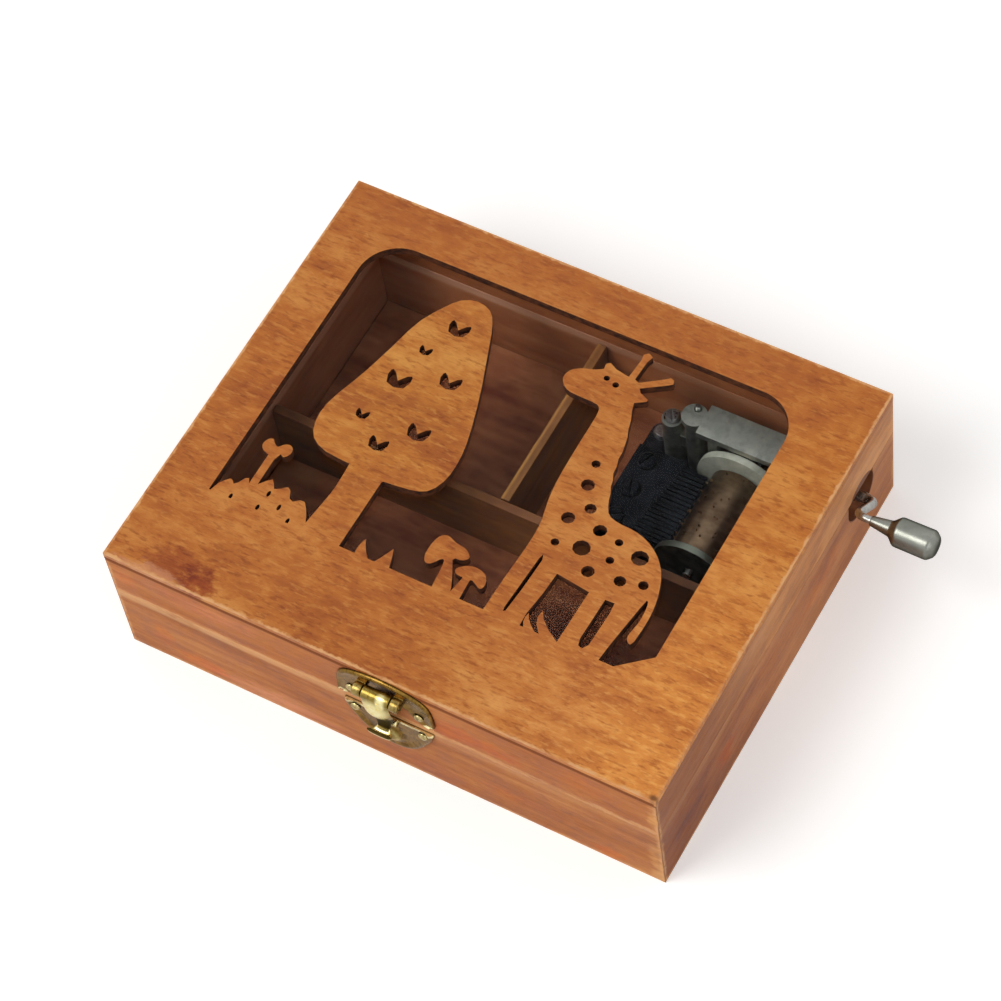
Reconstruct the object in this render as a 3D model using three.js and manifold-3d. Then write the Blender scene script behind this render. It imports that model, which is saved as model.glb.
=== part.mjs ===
// Hand crank music box: a small hinged wooden box whose lid is a fretted panel over
// a clear pane, closed by a brass latch. Inside, a worm on the crank turns a pinned
// cylinder against a steel comb. Millimetres; +X is the crank side, +Y the hinge
// side, +Z up, and the origin is the middle of the underside.
import * as THREE from 'three';
import { mergeVertices } from 'three/addons/utils/BufferGeometryUtils.js';
import Module from 'manifold-3d';

const wasm = await Module();
wasm.setup();

// Box
const boxWidth = 125;
const boxDepth = 102;
const baseHeight = 21;
const wallThickness = 6;
const bottomThickness = 2.5;
const lidRailHeight = 11.9;
const lidRailThickness = 6;
const lidPanelThickness = 2;
const seamGap = 0.1;
const woodGap = 0.3;
const paneThickness = 1;
const dividerThickness = 2;
const dividerDrop = 1;
const crossDividerGap = 3.1;
const longDividerGap = 12.6;

// Window in the lid
const windowWidth = 99;
const windowHeight = 69;
const windowOffsetX = -1.5;
const windowOffsetY = 5.75;
const windowCornerRadius = 9;
const windowSlantWidth = 6.5;
const windowSlantHeight = 5.4;

// Fretted figures
const figureRoot = 1.5;
const treeWidth = 31.3;
const treeHeight = 63.4;
const leafWidth = 4.7;
const leafHeight = 3.5;
const giraffeLength = 42.2;
const giraffeHeight = 67.3;
const maneDepth = 0.35;
const bigToadstoolWidth = 8.3;
const bigToadstoolHeight = 11.6;
const smallToadstoolWidth = 7;
const smallToadstoolHeight = 7.7;
const bushWidth = 22;
const bushHeight = 7.2;
const bushHoleRadius = 0.75;
const flowerWidth = 6.6;
const flowerHeight = 16.2;
const bladeHeight = 4.3;
const bladeWidth = 3.4;

// Latch
const latchX = 2.2;
const platingThickness = 0.7;
const upperPlateWidth = 22;
const upperPlateHeight = 10.8;
const upperPlateDrop = 0.7;
const lowerPlateWidth = 20.4;
const lowerPlateHeight = 11.2;
const lowerPlateDrop = 0.7;
const latchPinRise = 7.7;
const latchPinRadius = 0.6;
const latchKnuckleRadius = 1.5;
const latchKnuckleGap = 0.15;
const latchLoopWidth = 2;
const flapWidth = 6.2;
const flapWaist = 3.4;
const flapLip = 0.9;
const flapReach = 2.2;
const flapThickness = 0.75;
const catchWidth = 4.4;
const catchRadius = 1;
const catchDrop = 1.6;
const domeRadius = 3.6;
const domeRise = 1.5;
const domeDrop = 7.2;

// Nails
const nailShankRadius = 0.5;
const nailLength = 4.5;
const nailHeadRadius = 1.15;
const nailHeadRise = 0.55;

// Hinges
const hingeInset = 24.5;
const hingeLeafWidth = 16;
const hingeLeafHeight = 8.2;
const hingeKnuckleRadius = 1.4;
const hingePinRadius = 0.7;
const hingeClearance = 0.15;
const hingeNailSpacing = 9.6;

// Movement, measured from where the cylinder's axis passes under the crank shaft
const movementRightGap = 5.9;
const movementBackGap = 3.5;
const toothCount = 18;
const toothPitch = 1.05;
const toothWidth = 0.72;
const drumRadius = 6;
const drumMargin = 0.4;
const drumRecess = 0.8;
const drumRim = 0.9;
const drumHub = 2.6;
const pinLength = 0.7;
const pinRadius = 0.24;
const pinSteps = 60;
const arborRadius = 1;
const arborOverhang = 1.3;
const runningGap = 0.15;
const pluckGap = 0.25;
const bedplateLeftMargin = 1.6;
const bedplateRightMargin = 3.3;
const bedplateFrontMargin = 3.35;
const bedplateBackMargin = 1.8;
const bedplateThickness = 2;
const bedplateCorner = 2;
const grooveFloor = 0.7;
const grooveGap = 0.3;
const combBodyWidth = 8;
const bassToothLength = 8.45;
const trebleToothLength = 5.45;
const combThickness = 1.1;
const combLift = 0.3;
const combReliefThickness = 0.55;
const combSideMargin = 1.2;
const combSeatWidth = 7;
const combScrewHeadRadius = 2.1;
const combScrewInset = 3.6;
const bracketThickness = 1.6;
const backBracketGap = 0.3;
const wormSideGap = 0.3;
const backArchRadius = 9.8;
const frontArchRadius = 8.4;
const frontBracketGap = 0.8;
const gearModule = 0.5;
const wheelTeeth = 20;
const wheelWidth = 2.6;
const wheelHubRadius = 2.4;
const wheelHubLength = 0.9;
const wormPitchRadius = 2.5;
const wormLength = 8;
const meshGap = 0.1;
const toothRootShare = 1.96;
const toothTipShare = 0.72;
const threadRootShare = 1.84;
const threadTipShare = 0.72;
const addendumShare = 0.9;
const dedendumShare = 1.2;

// Crank bracket over the worm
const armClearance = 0.35;
const armThickness = 1.7;
const armWidth = 7.4;
const armOverhang = 2;
const innerLegGap = 0.35;
const outerLegGap = 2.55;
const legThickness = 2.3;
const legWidth = 5.4;
const bossSpacing = 2.1;
const bossRadius = 2.8;
const pillarRadius = 2.2;
const neckWidth = 3;
const earSpacing = 5.4;
const earRadius = 2.3;
const earDrop = 4.6;
const earWebWidth = 2;
const earWebHeight = 4;
const studRadius = 0.7;
const studRise = 1.1;
const studOffset = 1.6;

// Screws
const screwHeadRadius = 1.8;
const screwHeadHeight = 1.2;
const screwShankRadius = 0.8;
const screwLength = 3.3;
const screwSlotWidth = 0.45;
const screwSlotDepth = 0.5;
const screwInset = 2.4;

// Crank
const rodRadius = 1.2;
const rodEndGap = 0.3;
const crankThrow = 11.5;
const crankRestAngle = 0.83;
const armStandOff = 3.2;
const rodBend = 2.4;
const notchRadius = 5.5;
const knobStandOff = 6.5;
const knobNeckLength = 4.7;
const knobNeckRadius = 1.65;
const knobCollarRadius = 1.95;
const knobLength = 9.7;
const knobRadius = 3.2;
const knobChamfer = 1.3;
const knobEndRound = 0.9;
const knobWall = 1.4;
const collarRadius = 2.6;
const collarLength = 2;

// Counts, angles and the overrun that every cut shares
const overrun = 1;
const fineSides = 40;
const roundSides = 20;
const smallSides = 10;
const pinSides = 4;
const leadStride = 5;
const leadStart = 2;
const harmonyStride = 7;
const harmonyStart = 11;
const outlineSteps = 2;
const curveSteps = 6;
const threadSides = 16;
const rodSteps = 40;
const rodCurveSteps = 4;
const turn = Math.PI * 2;
const halfTurn = Math.PI;
const quarterTurn = Math.PI / 2;

// Places and sizes worked out from the ones above
const halfWidth = boxWidth / 2;
const halfDepth = boxDepth / 2;
const lidFoot = baseHeight + seamGap;
const seamMiddle = baseHeight + seamGap / 2;
const lidTop = lidFoot + lidRailHeight + lidPanelThickness;
const upperPlateFoot = lidTop - upperPlateDrop - upperPlateHeight;
const latchPinHeight = upperPlateFoot + latchPinRise;
const catchHeight = baseHeight - catchDrop;
const domeHeight = baseHeight - domeDrop;
const flapDrop = latchPinHeight - catchHeight + flapLip;
const windowLeft = windowOffsetX - windowWidth / 2;
const windowRight = windowOffsetX + windowWidth / 2;
const windowSill = windowOffsetY - windowHeight / 2;
const windowTop = windowOffsetY + windowHeight / 2;
const nailHoleRadius = nailShankRadius + woodGap;
const pinnedRadius = drumRadius + pinLength;
const grooveRadius = pinnedRadius + grooveGap;
const axisRise = grooveFloor + grooveRadius;
const toothAddendum = addendumShare * gearModule;
const toothDedendum = dedendumShare * gearModule;
const wheelPitchRadius = gearModule * wheelTeeth / 2;
const wheelTipRadius = wheelPitchRadius + toothAddendum;
const wheelRootRadius = wheelPitchRadius - toothDedendum;
const wormTipRadius = wormPitchRadius + toothAddendum;
const wormRootRadius = wormPitchRadius - toothDedendum;
const threadRootWidth = threadRootShare * gearModule;
const threadTipWidth = threadTipShare * gearModule;
const wormLead = Math.PI * gearModule;
const crankRise = axisRise + wheelPitchRadius + wormPitchRadius + meshGap;
const crankHeight = bottomThickness + crankRise;
const drumLength = toothCount * toothPitch + 2 * drumMargin;
const backBracketBack = -wormTipRadius - wormSideGap;
const backBracketFront = backBracketBack - bracketThickness;
const drumBack = backBracketFront - backBracketGap;
const drumFront = drumBack - drumLength;
const drumY = (drumFront + drumBack) / 2;
const frontBracketBack = drumFront - frontBracketGap;
const frontBracketFront = frontBracketBack - bracketThickness;
const tipX = -pinnedRadius - pluckGap;
const bassRootX = tipX - bassToothLength;
const trebleRootX = tipX - trebleToothLength;
const combLeft = bassRootX - combBodyWidth;
const combSeatRight = combLeft + combSeatWidth;
const combScrewX = combLeft + combScrewInset;
const armFloor = crankRise + wormTipRadius + armClearance;
const armTop = armFloor + armThickness;
const innerLegRight = -wheelTipRadius - innerLegGap;
const innerLegLeft = innerLegRight - legThickness;
const outerLegLeft = wheelTipRadius + outerLegGap;
const outerLegRight = outerLegLeft + legThickness;
const armLeft = innerLegLeft - armOverhang;
const armRight = outerLegRight + armOverhang;
const bossX = armLeft - bossSpacing;
const earX = bossX - earSpacing;
const earTop = armTop - earDrop;
const bedplateLeft = combLeft - bedplateLeftMargin;
const bedplateRight = outerLegRight + bedplateRightMargin;
const bedplateFront = frontBracketFront - bedplateFrontMargin;
const bedplateBack = armWidth / 2 + bedplateBackMargin;
const movementX = halfWidth - wallThickness - movementRightGap - bedplateRight;
const movementY = halfDepth - wallThickness - movementBackGap - bedplateBack;

const finishes = {
  wood: { color: 0xb9743a, roughness: 0.55, metalness: 0 },
  darkWood: { color: 0x6d4a3a, roughness: 0.7, metalness: 0 },
  clear: { color: 0xd8dcdc, roughness: 0.08, metalness: 0, transparent: true, opacity: 0.3 },
  brass: { color: 0xb9a45a, roughness: 0.32, metalness: 1 },
  drumBrass: { color: 0x8d7358, roughness: 0.4, metalness: 1 },
  zinc: { color: 0x9aa09c, roughness: 0.45, metalness: 1 },
  darkSteel: { color: 0x2c3036, roughness: 0.45, metalness: 1 },
  steel: { color: 0xc4c5c0, roughness: 0.22, metalness: 1 },
};

// Solids and geometries
function solidOf(geometry) {
  const bare = geometry.clone();
  bare.deleteAttribute('normal');
  bare.deleteAttribute('uv');
  const merged = mergeVertices(bare);
  return new wasm.Manifold(new wasm.Mesh({
    numProp: 3,
    vertProperties: Float32Array.from(merged.attributes.position.array),
    triVerts: Uint32Array.from(merged.index.array),
  }));
}

function geometryOf(solid) {
  const mesh = solid.getMesh();
  const geometry = new THREE.BufferGeometry();
  geometry.setAttribute('position', new THREE.BufferAttribute(mesh.vertProperties, 3));
  geometry.setIndex(new THREE.BufferAttribute(mesh.triVerts, 1));
  geometry.computeVertexNormals();
  return geometry;
}

function joined(...geometries) {
  return geometryOf(wasm.Manifold.union(geometries.map(solidOf)));
}

function cut(geometry, ...tools) {
  if (tools.length === 0) return geometry;
  return geometryOf(solidOf(geometry).subtract(wasm.Manifold.union(tools.map(solidOf))));
}

function common(first, second) {
  return geometryOf(solidOf(first).intersect(solidOf(second)));
}

// Basic forms
function block(low, high) {
  const size = high.map((value, axis) => value - low[axis]);
  const box = new THREE.BoxGeometry(...size);
  box.translate(...low.map((value, axis) => value + size[axis] / 2));
  return box;
}

function bar(radius, start, end, sides = smallSides) {
  const from = new THREE.Vector3(...start);
  const along = new THREE.Vector3(...end).sub(from);
  const cylinder = new THREE.CylinderGeometry(radius, radius, along.length(), sides);
  const up = new THREE.Vector3(0, 1, 0);
  cylinder.applyQuaternion(new THREE.Quaternion().setFromUnitVectors(up, along.clone().normalize()));
  const middle = from.addScaledVector(along, 1 / 2);
  cylinder.translate(middle.x, middle.y, middle.z);
  return cylinder;
}

function plate(shape, thickness, steps = curveSteps) {
  return new THREE.ExtrudeGeometry(shape, {
    depth: thickness,
    bevelEnabled: false,
    curveSegments: steps,
  });
}

// A plate drawn in x and z, with its back on the plane y = 0 and its thickness
// towards -y, as a plate on the front face lies.
function facePlate(shape, thickness, steps = curveSteps) {
  const geometry = plate(shape, thickness, steps);
  geometry.rotateX(quarterTurn);
  return geometry;
}

function scaled(shares, width, height, originX = 0, originY = 0) {
  return shares.map(([u, v]) => new THREE.Vector2(originX + u * width, originY + v * height));
}

function circle(x, y, radius) {
  return new THREE.Path().absarc(x, y, radius, 0, turn);
}

function roundedRectangle(left, right, low, high, radius) {
  const shape = new THREE.Shape();
  shape.absarc(right - radius, high - radius, radius, 0, quarterTurn);
  shape.absarc(left + radius, high - radius, radius, quarterTurn, halfTurn);
  shape.absarc(left + radius, low + radius, radius, halfTurn, halfTurn + quarterTurn);
  shape.absarc(right - radius, low + radius, radius, halfTurn + quarterTurn, turn);
  return shape;
}

// A closed outline of even thickness along an open curve, as bent sheet metal has.
function stripShape(curve, thickness, steps) {
  const left = [];
  const right = [];
  for (let step = 0; step <= steps; step += 1) {
    const point = curve.getPoint(step / steps);
    const tangent = curve.getTangent(step / steps);
    const side = new THREE.Vector2(-tangent.y, tangent.x).multiplyScalar(thickness / 2);
    left.push(point.clone().add(side));
    right.unshift(point.clone().sub(side));
  }
  return new THREE.Shape([...left, ...right]);
}

// Scene graph
const musicBox = new THREE.Group();

function addPiece(group, name, geometry, finish) {
  const mesh = new THREE.Mesh(geometry, new THREE.MeshStandardMaterial(finishes[finish]));
  mesh.name = name;
  group.add(mesh);
  return mesh;
}

function addGroup(parent, x, y, z) {
  const group = new THREE.Group();
  group.position.set(x, y, z);
  parent.add(group);
  return group;
}

// Mitred box sides: one side along x with its outer face on y = 0, turned in place
function mitredSide(length, thickness, height) {
  const pull = woodGap / 2;
  const outer = length / 2 - pull;
  const inner = outer - thickness;
  const outline = new THREE.Shape();
  outline.moveTo(-outer, 0);
  outline.lineTo(outer, 0);
  outline.lineTo(inner, thickness);
  outline.lineTo(-inner, thickness);
  return plate(outline, height);
}

function nailHole(x, z) {
  return bar(nailHoleRadius, [x, -overrun, z], [x, nailLength + woodGap, z]);
}

const sides = [
  { label: 'front', length: boxWidth, x: 0, y: -halfDepth, angle: 0 },
  { label: 'right', length: boxDepth, x: halfWidth, y: 0, angle: quarterTurn },
  { label: 'back', length: boxWidth, x: 0, y: halfDepth, angle: halfTurn },
  { label: 'left', length: boxDepth, x: -halfWidth, y: 0, angle: -quarterTurn },
];

// Places of the latch and hinge nails, also used for the holes in the wood
const upperNailShares = [[-0.7, 0.25], [0.7, 0.25]];
const lowerNailShares = [[-0.76, 0.84], [0.76, 0.84]];
const lowerPlateFoot = baseHeight - lowerPlateDrop - lowerPlateHeight;
const upperNails = scaled(upperNailShares, upperPlateWidth / 2, upperPlateHeight, 0, upperPlateFoot);
const lowerNails = scaled(lowerNailShares, lowerPlateWidth / 2, lowerPlateHeight, 0, lowerPlateFoot);
const hingeNailRise = (hingeKnuckleRadius + hingeLeafHeight) / 2 + hingeClearance;
const hingeNailPlaces = [];
for (const hinge of [-1, 1]) {
  for (const nail of [-1, 1]) {
    hingeNailPlaces.push(hinge * (halfWidth - hingeInset) + nail * hingeNailSpacing / 2);
  }
}

function crankNotch() {
  const through = wallThickness + overrun;
  const low = [movementY, -overrun, crankHeight];
  const hole = bar(notchRadius, low, [movementY, through, crankHeight], fineSides);
  const slot = block(
    [movementY - notchRadius, -overrun, crankHeight],
    [movementY + notchRadius, through, baseHeight + overrun],
  );
  return joined(hole, slot);
}

const baseCuts = {
  front: lowerNails.map((place) => nailHole(latchX + place.x, place.y)),
  right: [crankNotch()],
  back: hingeNailPlaces.map((place) => nailHole(place, seamMiddle - hingeNailRise)),
  left: [],
};
const lidCuts = {
  front: upperNails.map((place) => nailHole(latchX + place.x, place.y - lidFoot)),
  right: [],
  back: hingeNailPlaces.map((place) => nailHole(place, seamMiddle + hingeNailRise - lidFoot)),
  left: [],
};

// Base
const base = addGroup(musicBox, 0, 0, 0);
for (const side of sides) {
  const whole = mitredSide(side.length, wallThickness, baseHeight);
  const wall = addPiece(base, `base_${side.label}_wall`, cut(whole, ...baseCuts[side.label]), 'wood');
  wall.position.set(side.x, side.y, 0);
  wall.rotation.z = side.angle;
}

const bedplateScrewPlaces = [
  [bedplateLeft + screwInset, bedplateFront + screwInset],
  [bedplateLeft + screwInset, bedplateBack - screwInset],
  [bedplateRight - screwInset, bedplateFront + screwInset],
];
const floorHalfWidth = halfWidth - wallThickness - woodGap;
const floorHalfDepth = halfDepth - wallThickness - woodGap;
const screwHoles = bedplateScrewPlaces.map(([x, y]) => bar(
  screwShankRadius + woodGap,
  [movementX + x, movementY + y, -overrun],
  [movementX + x, movementY + y, bottomThickness + overrun],
));
const floor = block(
  [-floorHalfWidth, -floorHalfDepth, 0],
  [floorHalfWidth, floorHalfDepth, bottomThickness],
);
addPiece(base, 'bottom_panel', cut(floor, ...screwHoles), 'darkWood');

const crossDividerBack = movementY + bedplateFront - crossDividerGap;
const crossDividerFront = crossDividerBack - dividerThickness;
const longDividerRight = movementX + bedplateLeft - longDividerGap;
const dividerTop = baseHeight - dividerDrop;
addPiece(base, 'cross_divider', block(
  [-floorHalfWidth, crossDividerFront, bottomThickness],
  [floorHalfWidth, crossDividerBack, dividerTop],
), 'darkWood');
addPiece(base, 'long_divider', block(
  [longDividerRight - dividerThickness, crossDividerBack + woodGap, bottomThickness],
  [longDividerRight, floorHalfDepth, dividerTop],
), 'darkWood');

// Lid frame and pane
const lid = addGroup(musicBox, 0, 0, lidFoot);
for (const side of sides) {
  const whole = mitredSide(side.length, lidRailThickness, lidRailHeight);
  const rail = addPiece(lid, `lid_${side.label}_rail`, cut(whole, ...lidCuts[side.label]), 'wood');
  rail.position.set(side.x, side.y, 0);
  rail.rotation.z = side.angle;
}
const paneHalfWidth = halfWidth - lidRailThickness - woodGap;
const paneHalfDepth = halfDepth - lidRailThickness - woodGap;
addPiece(lid, 'window_pane', block(
  [-paneHalfWidth, -paneHalfDepth, lidRailHeight - paneThickness],
  [paneHalfWidth, paneHalfDepth, lidRailHeight],
), 'clear');

// Fretted panel: the figures are cut in one with the panel and stand on its sill.
// Each outline is a list of shares of the figure's own width and height.
function windowPath() {
  const path = new THREE.Path();
  const radius = windowCornerRadius;
  path.moveTo(windowLeft, windowSill);
  path.lineTo(windowRight - windowSlantWidth, windowSill);
  path.lineTo(windowRight, windowSill + windowSlantHeight);
  path.lineTo(windowRight, windowTop - radius);
  path.absarc(windowRight - radius, windowTop - radius, radius, 0, quarterTurn);
  path.absarc(windowLeft + radius, windowTop - radius, radius, quarterTurn, halfTurn);
  path.lineTo(windowLeft, windowSill);
  return path;
}

function panelBoard() {
  const board = new THREE.Shape();
  board.moveTo(-halfWidth, -halfDepth);
  board.lineTo(halfWidth, -halfDepth);
  board.lineTo(halfWidth, halfDepth);
  board.lineTo(-halfWidth, halfDepth);
  board.holes.push(windowPath());
  return plate(board, lidPanelThickness);
}

// A figure's outline: straight lines or smooth runs through the points of each
// run, from the root below the sill at one side to the root at the other.
function figureShape(runs, width, height, footX) {
  const points = runs.map((run) => ({
    smooth: run.smooth,
    places: scaled(run.shares, width, height, footX, windowSill),
  }));
  const first = points[0].places[0];
  const last = points[points.length - 1].places.at(-1);
  const shape = new THREE.Shape();
  shape.moveTo(first.x, windowSill - figureRoot);
  shape.lineTo(first.x, first.y);
  for (const run of points) {
    if (run.smooth) {
      shape.splineThru(run.places);
    } else {
      run.places.forEach((place) => shape.lineTo(place.x, place.y));
    }
  }
  shape.lineTo(last.x, windowSill - figureRoot);
  return shape;
}

function ovalHole(x, y, width, height, tilt) {
  const oval = new THREE.EllipseCurve(x, y, width / 2, height / 2, 0, turn, false, tilt);
  return new THREE.Path(oval.getPoints(smallSides).slice(1));
}

// Tree with seven leaf shaped cuts
const treeFootShare = 0.2687;
const trunkRightShares = [[0.128, 0], [0.134, 0.262]];
const crownShares = [
  [0.144, 0.267], [0.332, 0.278], [0.441, 0.3], [0.498, 0.359], [0.505, 0.438],
  [0.473, 0.532], [0.377, 0.69], [0.259, 0.848], [0.185, 0.939], [0.115, 0.985],
  [0.006, 1], [-0.102, 0.98], [-0.188, 0.923], [-0.275, 0.84], [-0.339, 0.706],
  [-0.403, 0.588], [-0.486, 0.461], [-0.495, 0.382], [-0.444, 0.318],
  [-0.323, 0.286], [-0.125, 0.278],
];
const trunkLeftShares = [[-0.121, 0.248], [-0.118, 0.17], [-0.137, 0.091], [-0.16, 0]];
const leafPlaceShares = [
  [0, 0.876, 1], [-0.115, 0.758, 0.6], [0.153, 0.685, 1], [-0.163, 0.622, 1.12],
  [-0.243, 0.458, 0.62], [0.16, 0.472, 1.04], [-0.035, 0.381, 0.9],
];
const leafShares = [[0, -0.5], [0.5, 0.1], [0.42, 0.5], [0.26, 0.38], [0, -0.05]];

function leafHole(x, y, growth) {
  const width = leafWidth * growth;
  const height = leafHeight * growth;
  const [tip, side, top, shoulder, notch] = scaled(leafShares, width, height, x, y);
  const mirror = (place) => x + x - place.x;
  const path = new THREE.Path();
  path.moveTo(tip.x, tip.y);
  path.quadraticCurveTo(side.x, tip.y, side.x, side.y);
  path.quadraticCurveTo(side.x, top.y, top.x, top.y);
  path.lineTo(shoulder.x, shoulder.y);
  path.lineTo(notch.x, notch.y);
  path.lineTo(mirror(shoulder), shoulder.y);
  path.lineTo(mirror(top), top.y);
  path.quadraticCurveTo(mirror(side), top.y, mirror(side), side.y);
  path.quadraticCurveTo(mirror(side), tip.y, tip.x, tip.y);
  return path;
}

function treeFigure() {
  const footX = windowLeft + treeFootShare * windowWidth;
  const shape = figureShape([
    { smooth: false, shares: trunkRightShares },
    { smooth: false, shares: crownShares.slice(0, 1) },
    { smooth: true, shares: crownShares.slice(1) },
    { smooth: true, shares: trunkLeftShares },
  ], treeWidth, treeHeight, footX);
  for (const [u, v, growth] of leafPlaceShares) {
    shape.holes.push(leafHole(footX + u * treeWidth, windowSill + v * treeHeight, growth));
  }
  return plate(shape, lidPanelThickness, outlineSteps);
}

// Giraffe, drawn from its front foot up the neck, over the back and down
const giraffeFootShare = 0.6424;
const neckFrontShares = [
  [0, 0], [0.007, 0.13], [0.019, 0.264], [0.012, 0.338], [-0.012, 0.405],
  [-0.028, 0.486], [-0.033, 0.605], [-0.033, 0.724], [-0.04, 0.758],
];
const muzzleShares = [
  [-0.064, 0.77], [-0.156, 0.772], [-0.227, 0.776], [-0.27, 0.796], [-0.284, 0.819],
  [-0.268, 0.846], [-0.223, 0.865], [-0.166, 0.877], [-0.128, 0.892],
];
const crestShares = [[-0.133, 0.91], [-0.114, 0.919], [-0.071, 0.906], [0.002, 0.898]];
const firstHornShares = [
  [0.012, 0.97], [0.007, 0.988], [0.028, 1], [0.055, 0.991], [0.043, 0.968], [0.036, 0.898],
];
const secondHornShares = [
  [0.062, 0.892], [0.175, 0.941], [0.19, 0.949], [0.211, 0.944], [0.216, 0.931],
  [0.197, 0.922], [0.081, 0.875],
];
const earShares = [[0.097, 0.862], [0.149, 0.849], [0.145, 0.841], [0.095, 0.822]];
const maneShares = [
  [0.107, 0.795], [0.142, 0.731], [0.168, 0.679], [0.178, 0.627], [0.194, 0.575],
  [0.218, 0.531], [0.244, 0.489],
];
const backShares = [
  [0.244, 0.489], [0.28, 0.446], [0.341, 0.431], [0.436, 0.427], [0.519, 0.411],
  [0.597, 0.378], [0.654, 0.333], [0.69, 0.278], [0.711, 0.219], [0.716, 0.16],
  [0.711, 0.1],
];
const tailShares = [
  [0.699, 0.084], [0.675, 0.096], [0.671, 0.115], [0.682, 0.16], [0.68, 0.204],
  [0.671, 0.231], [0.661, 0.234],
];
const hindLegShares = [[0.652, 0.204], [0.635, 0.13], [0.618, 0.056], [0.609, 0]];
const frontSlitShares = [
  [0.109, 0.24], [0.12, 0.222], [0.112, 0.12], [0.097, 0.025], [0.087, 0.021],
  [0.083, 0.035], [0.09, 0.12], [0.102, 0.222],
];
const bellyShares = [
  [0.218, 0.2], [0.399, 0.186], [0.395, 0.09], [0.391, 0], [0.194, 0], [0.192, 0.045],
  [0.209, 0.12],
];
const hindSlotShares = [
  [0.486, 0.184], [0.534, 0.186], [0.539, 0.15], [0.531, 0.03], [0.51, 0.012],
  [0.488, 0.017], [0.479, 0.04],
];
const spotShares = [
  [0.095, 0.582, 0.045, 0], [0.116, 0.507, 0.069, 0], [0.19, 0.438, 0.06, 0],
  [0.118, 0.382, 0.069, 0.2], [0.287, 0.384, 0.069, 0.3], [0.398, 0.372, 0.042, 0],
  [0.526, 0.352, 0.088, 0], [0.254, 0.308, 0.09, 0], [0.405, 0.307, 0.043, 0],
  [0.609, 0.275, 0.052, 0], [0.126, 0.292, 0.043, 0], [0.341, 0.246, 0.066, 0.2],
  [0.5, 0.258, 0.061, 0], [-0.09, 0.865, 0.032, 0], [-0.033, 0.855, 0.034, 0],
];
const spotSquashShare = 0.92;

// The mane is cut in small scallops: bulges out of a straight run between knots.
function maneRun(footX) {
  const knots = scaled(maneShares, giraffeLength, giraffeHeight, footX, windowSill);
  const run = [];
  for (let knot = 1; knot < knots.length; knot += 1) {
    const from = knots[knot - 1];
    const to = knots[knot];
    const out = new THREE.Vector2(to.x - from.x, to.y - from.y).normalize();
    const crest = from.clone().lerp(to, 1 / 2);
    crest.add(new THREE.Vector2(-out.y, out.x).multiplyScalar(maneDepth));
    run.push({ crest, to });
  }
  return run;
}

// The giraffe's outline runs clockwise, so its holes have to run the other way.
function polygonHole(shares, footX) {
  return new THREE.Path(scaled(shares, giraffeLength, giraffeHeight, footX, windowSill).reverse());
}

function giraffeFigure() {
  const footX = windowLeft + giraffeFootShare * windowWidth;
  const at = (shares) => scaled(shares, giraffeLength, giraffeHeight, footX, windowSill);
  const shape = new THREE.Shape();
  const corners = (shares) => at(shares).forEach((place) => shape.lineTo(place.x, place.y));
  shape.moveTo(footX, windowSill - figureRoot);
  corners(neckFrontShares.slice(0, 1));
  shape.splineThru(at(neckFrontShares.slice(1)));
  shape.splineThru(at(muzzleShares));
  corners(crestShares);
  corners(firstHornShares);
  corners(secondHornShares);
  corners(earShares);
  corners(maneShares.slice(0, 1));
  for (const { crest, to } of maneRun(footX)) {
    shape.quadraticCurveTo(crest.x, crest.y, to.x, to.y);
  }
  shape.splineThru(at(backShares.slice(1)));
  shape.splineThru(at(tailShares));
  corners(hindLegShares);
  shape.lineTo(at(hindLegShares).at(-1).x, windowSill - figureRoot);
  for (const shares of [frontSlitShares, bellyShares, hindSlotShares]) {
    shape.holes.push(polygonHole(shares, footX));
  }
  for (const [u, v, spotShare, tilt] of spotShares) {
    const size = spotShare * giraffeLength;
    const x = footX + u * giraffeLength;
    const y = windowSill + v * giraffeHeight;
    shape.holes.push(ovalHole(x, y, size, size * spotSquashShare, tilt));
  }
  return plate(shape, lidPanelThickness, outlineSteps);
}

// Toadstools, bush, flower and grass
const bigToadstoolFootShare = 0.5455;
const bigToadstoolShares = [
  [0.229, 0], [0.181, 0.133], [0, 0.408], [-0.169, 0.639], [0.036, 0.674],
  [0.157, 0.742], [0.145, 0.82], [-0.024, 0.906], [-0.313, 0.94], [-0.506, 0.991],
  [-0.651, 1], [-0.783, 0.906], [-0.843, 0.708], [-0.831, 0.494], [-0.747, 0.382],
  [-0.627, 0.373], [-0.506, 0.459], [-0.434, 0.536], [-0.337, 0.545], [-0.289, 0.322],
  [-0.253, 0],
];
const smallToadstoolFootShare = 0.5778;
const smallToadstoolShares = [
  [0.143, 0], [0.129, 0.355], [0.129, 0.613], [0.314, 0.561], [0.486, 0.484],
  [0.571, 0.561], [0.557, 0.742], [0.4, 0.923], [0.114, 1], [-0.171, 0.948],
  [-0.371, 0.806], [-0.429, 0.703], [-0.343, 0.613], [-0.186, 0.587], [-0.114, 0.574],
  [-0.171, 0.239], [-0.229, 0],
];
const bushFootShare = 0.1126;
const bushShares = [
  [0.5, 0.12], [0.445, 0.48], [0.35, 0.84], [0.24, 0.66], [0.16, 1.04], [0.045, 0.8],
  [-0.025, 1.06], [-0.12, 0.76], [-0.19, 0.62], [-0.245, 0.82], [-0.32, 0.46],
  [-0.38, 0.58], [-0.46, 0.3], [-0.49, 0],
];
const bushHoleShares = [
  [-0.285, 0.06], [-0.18, 0.44], [0.02, 0.6], [0, 0.08], [0.18, 0.34], [0.325, 0.06],
];
const flowerFootShare = 0.0768;
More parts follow.
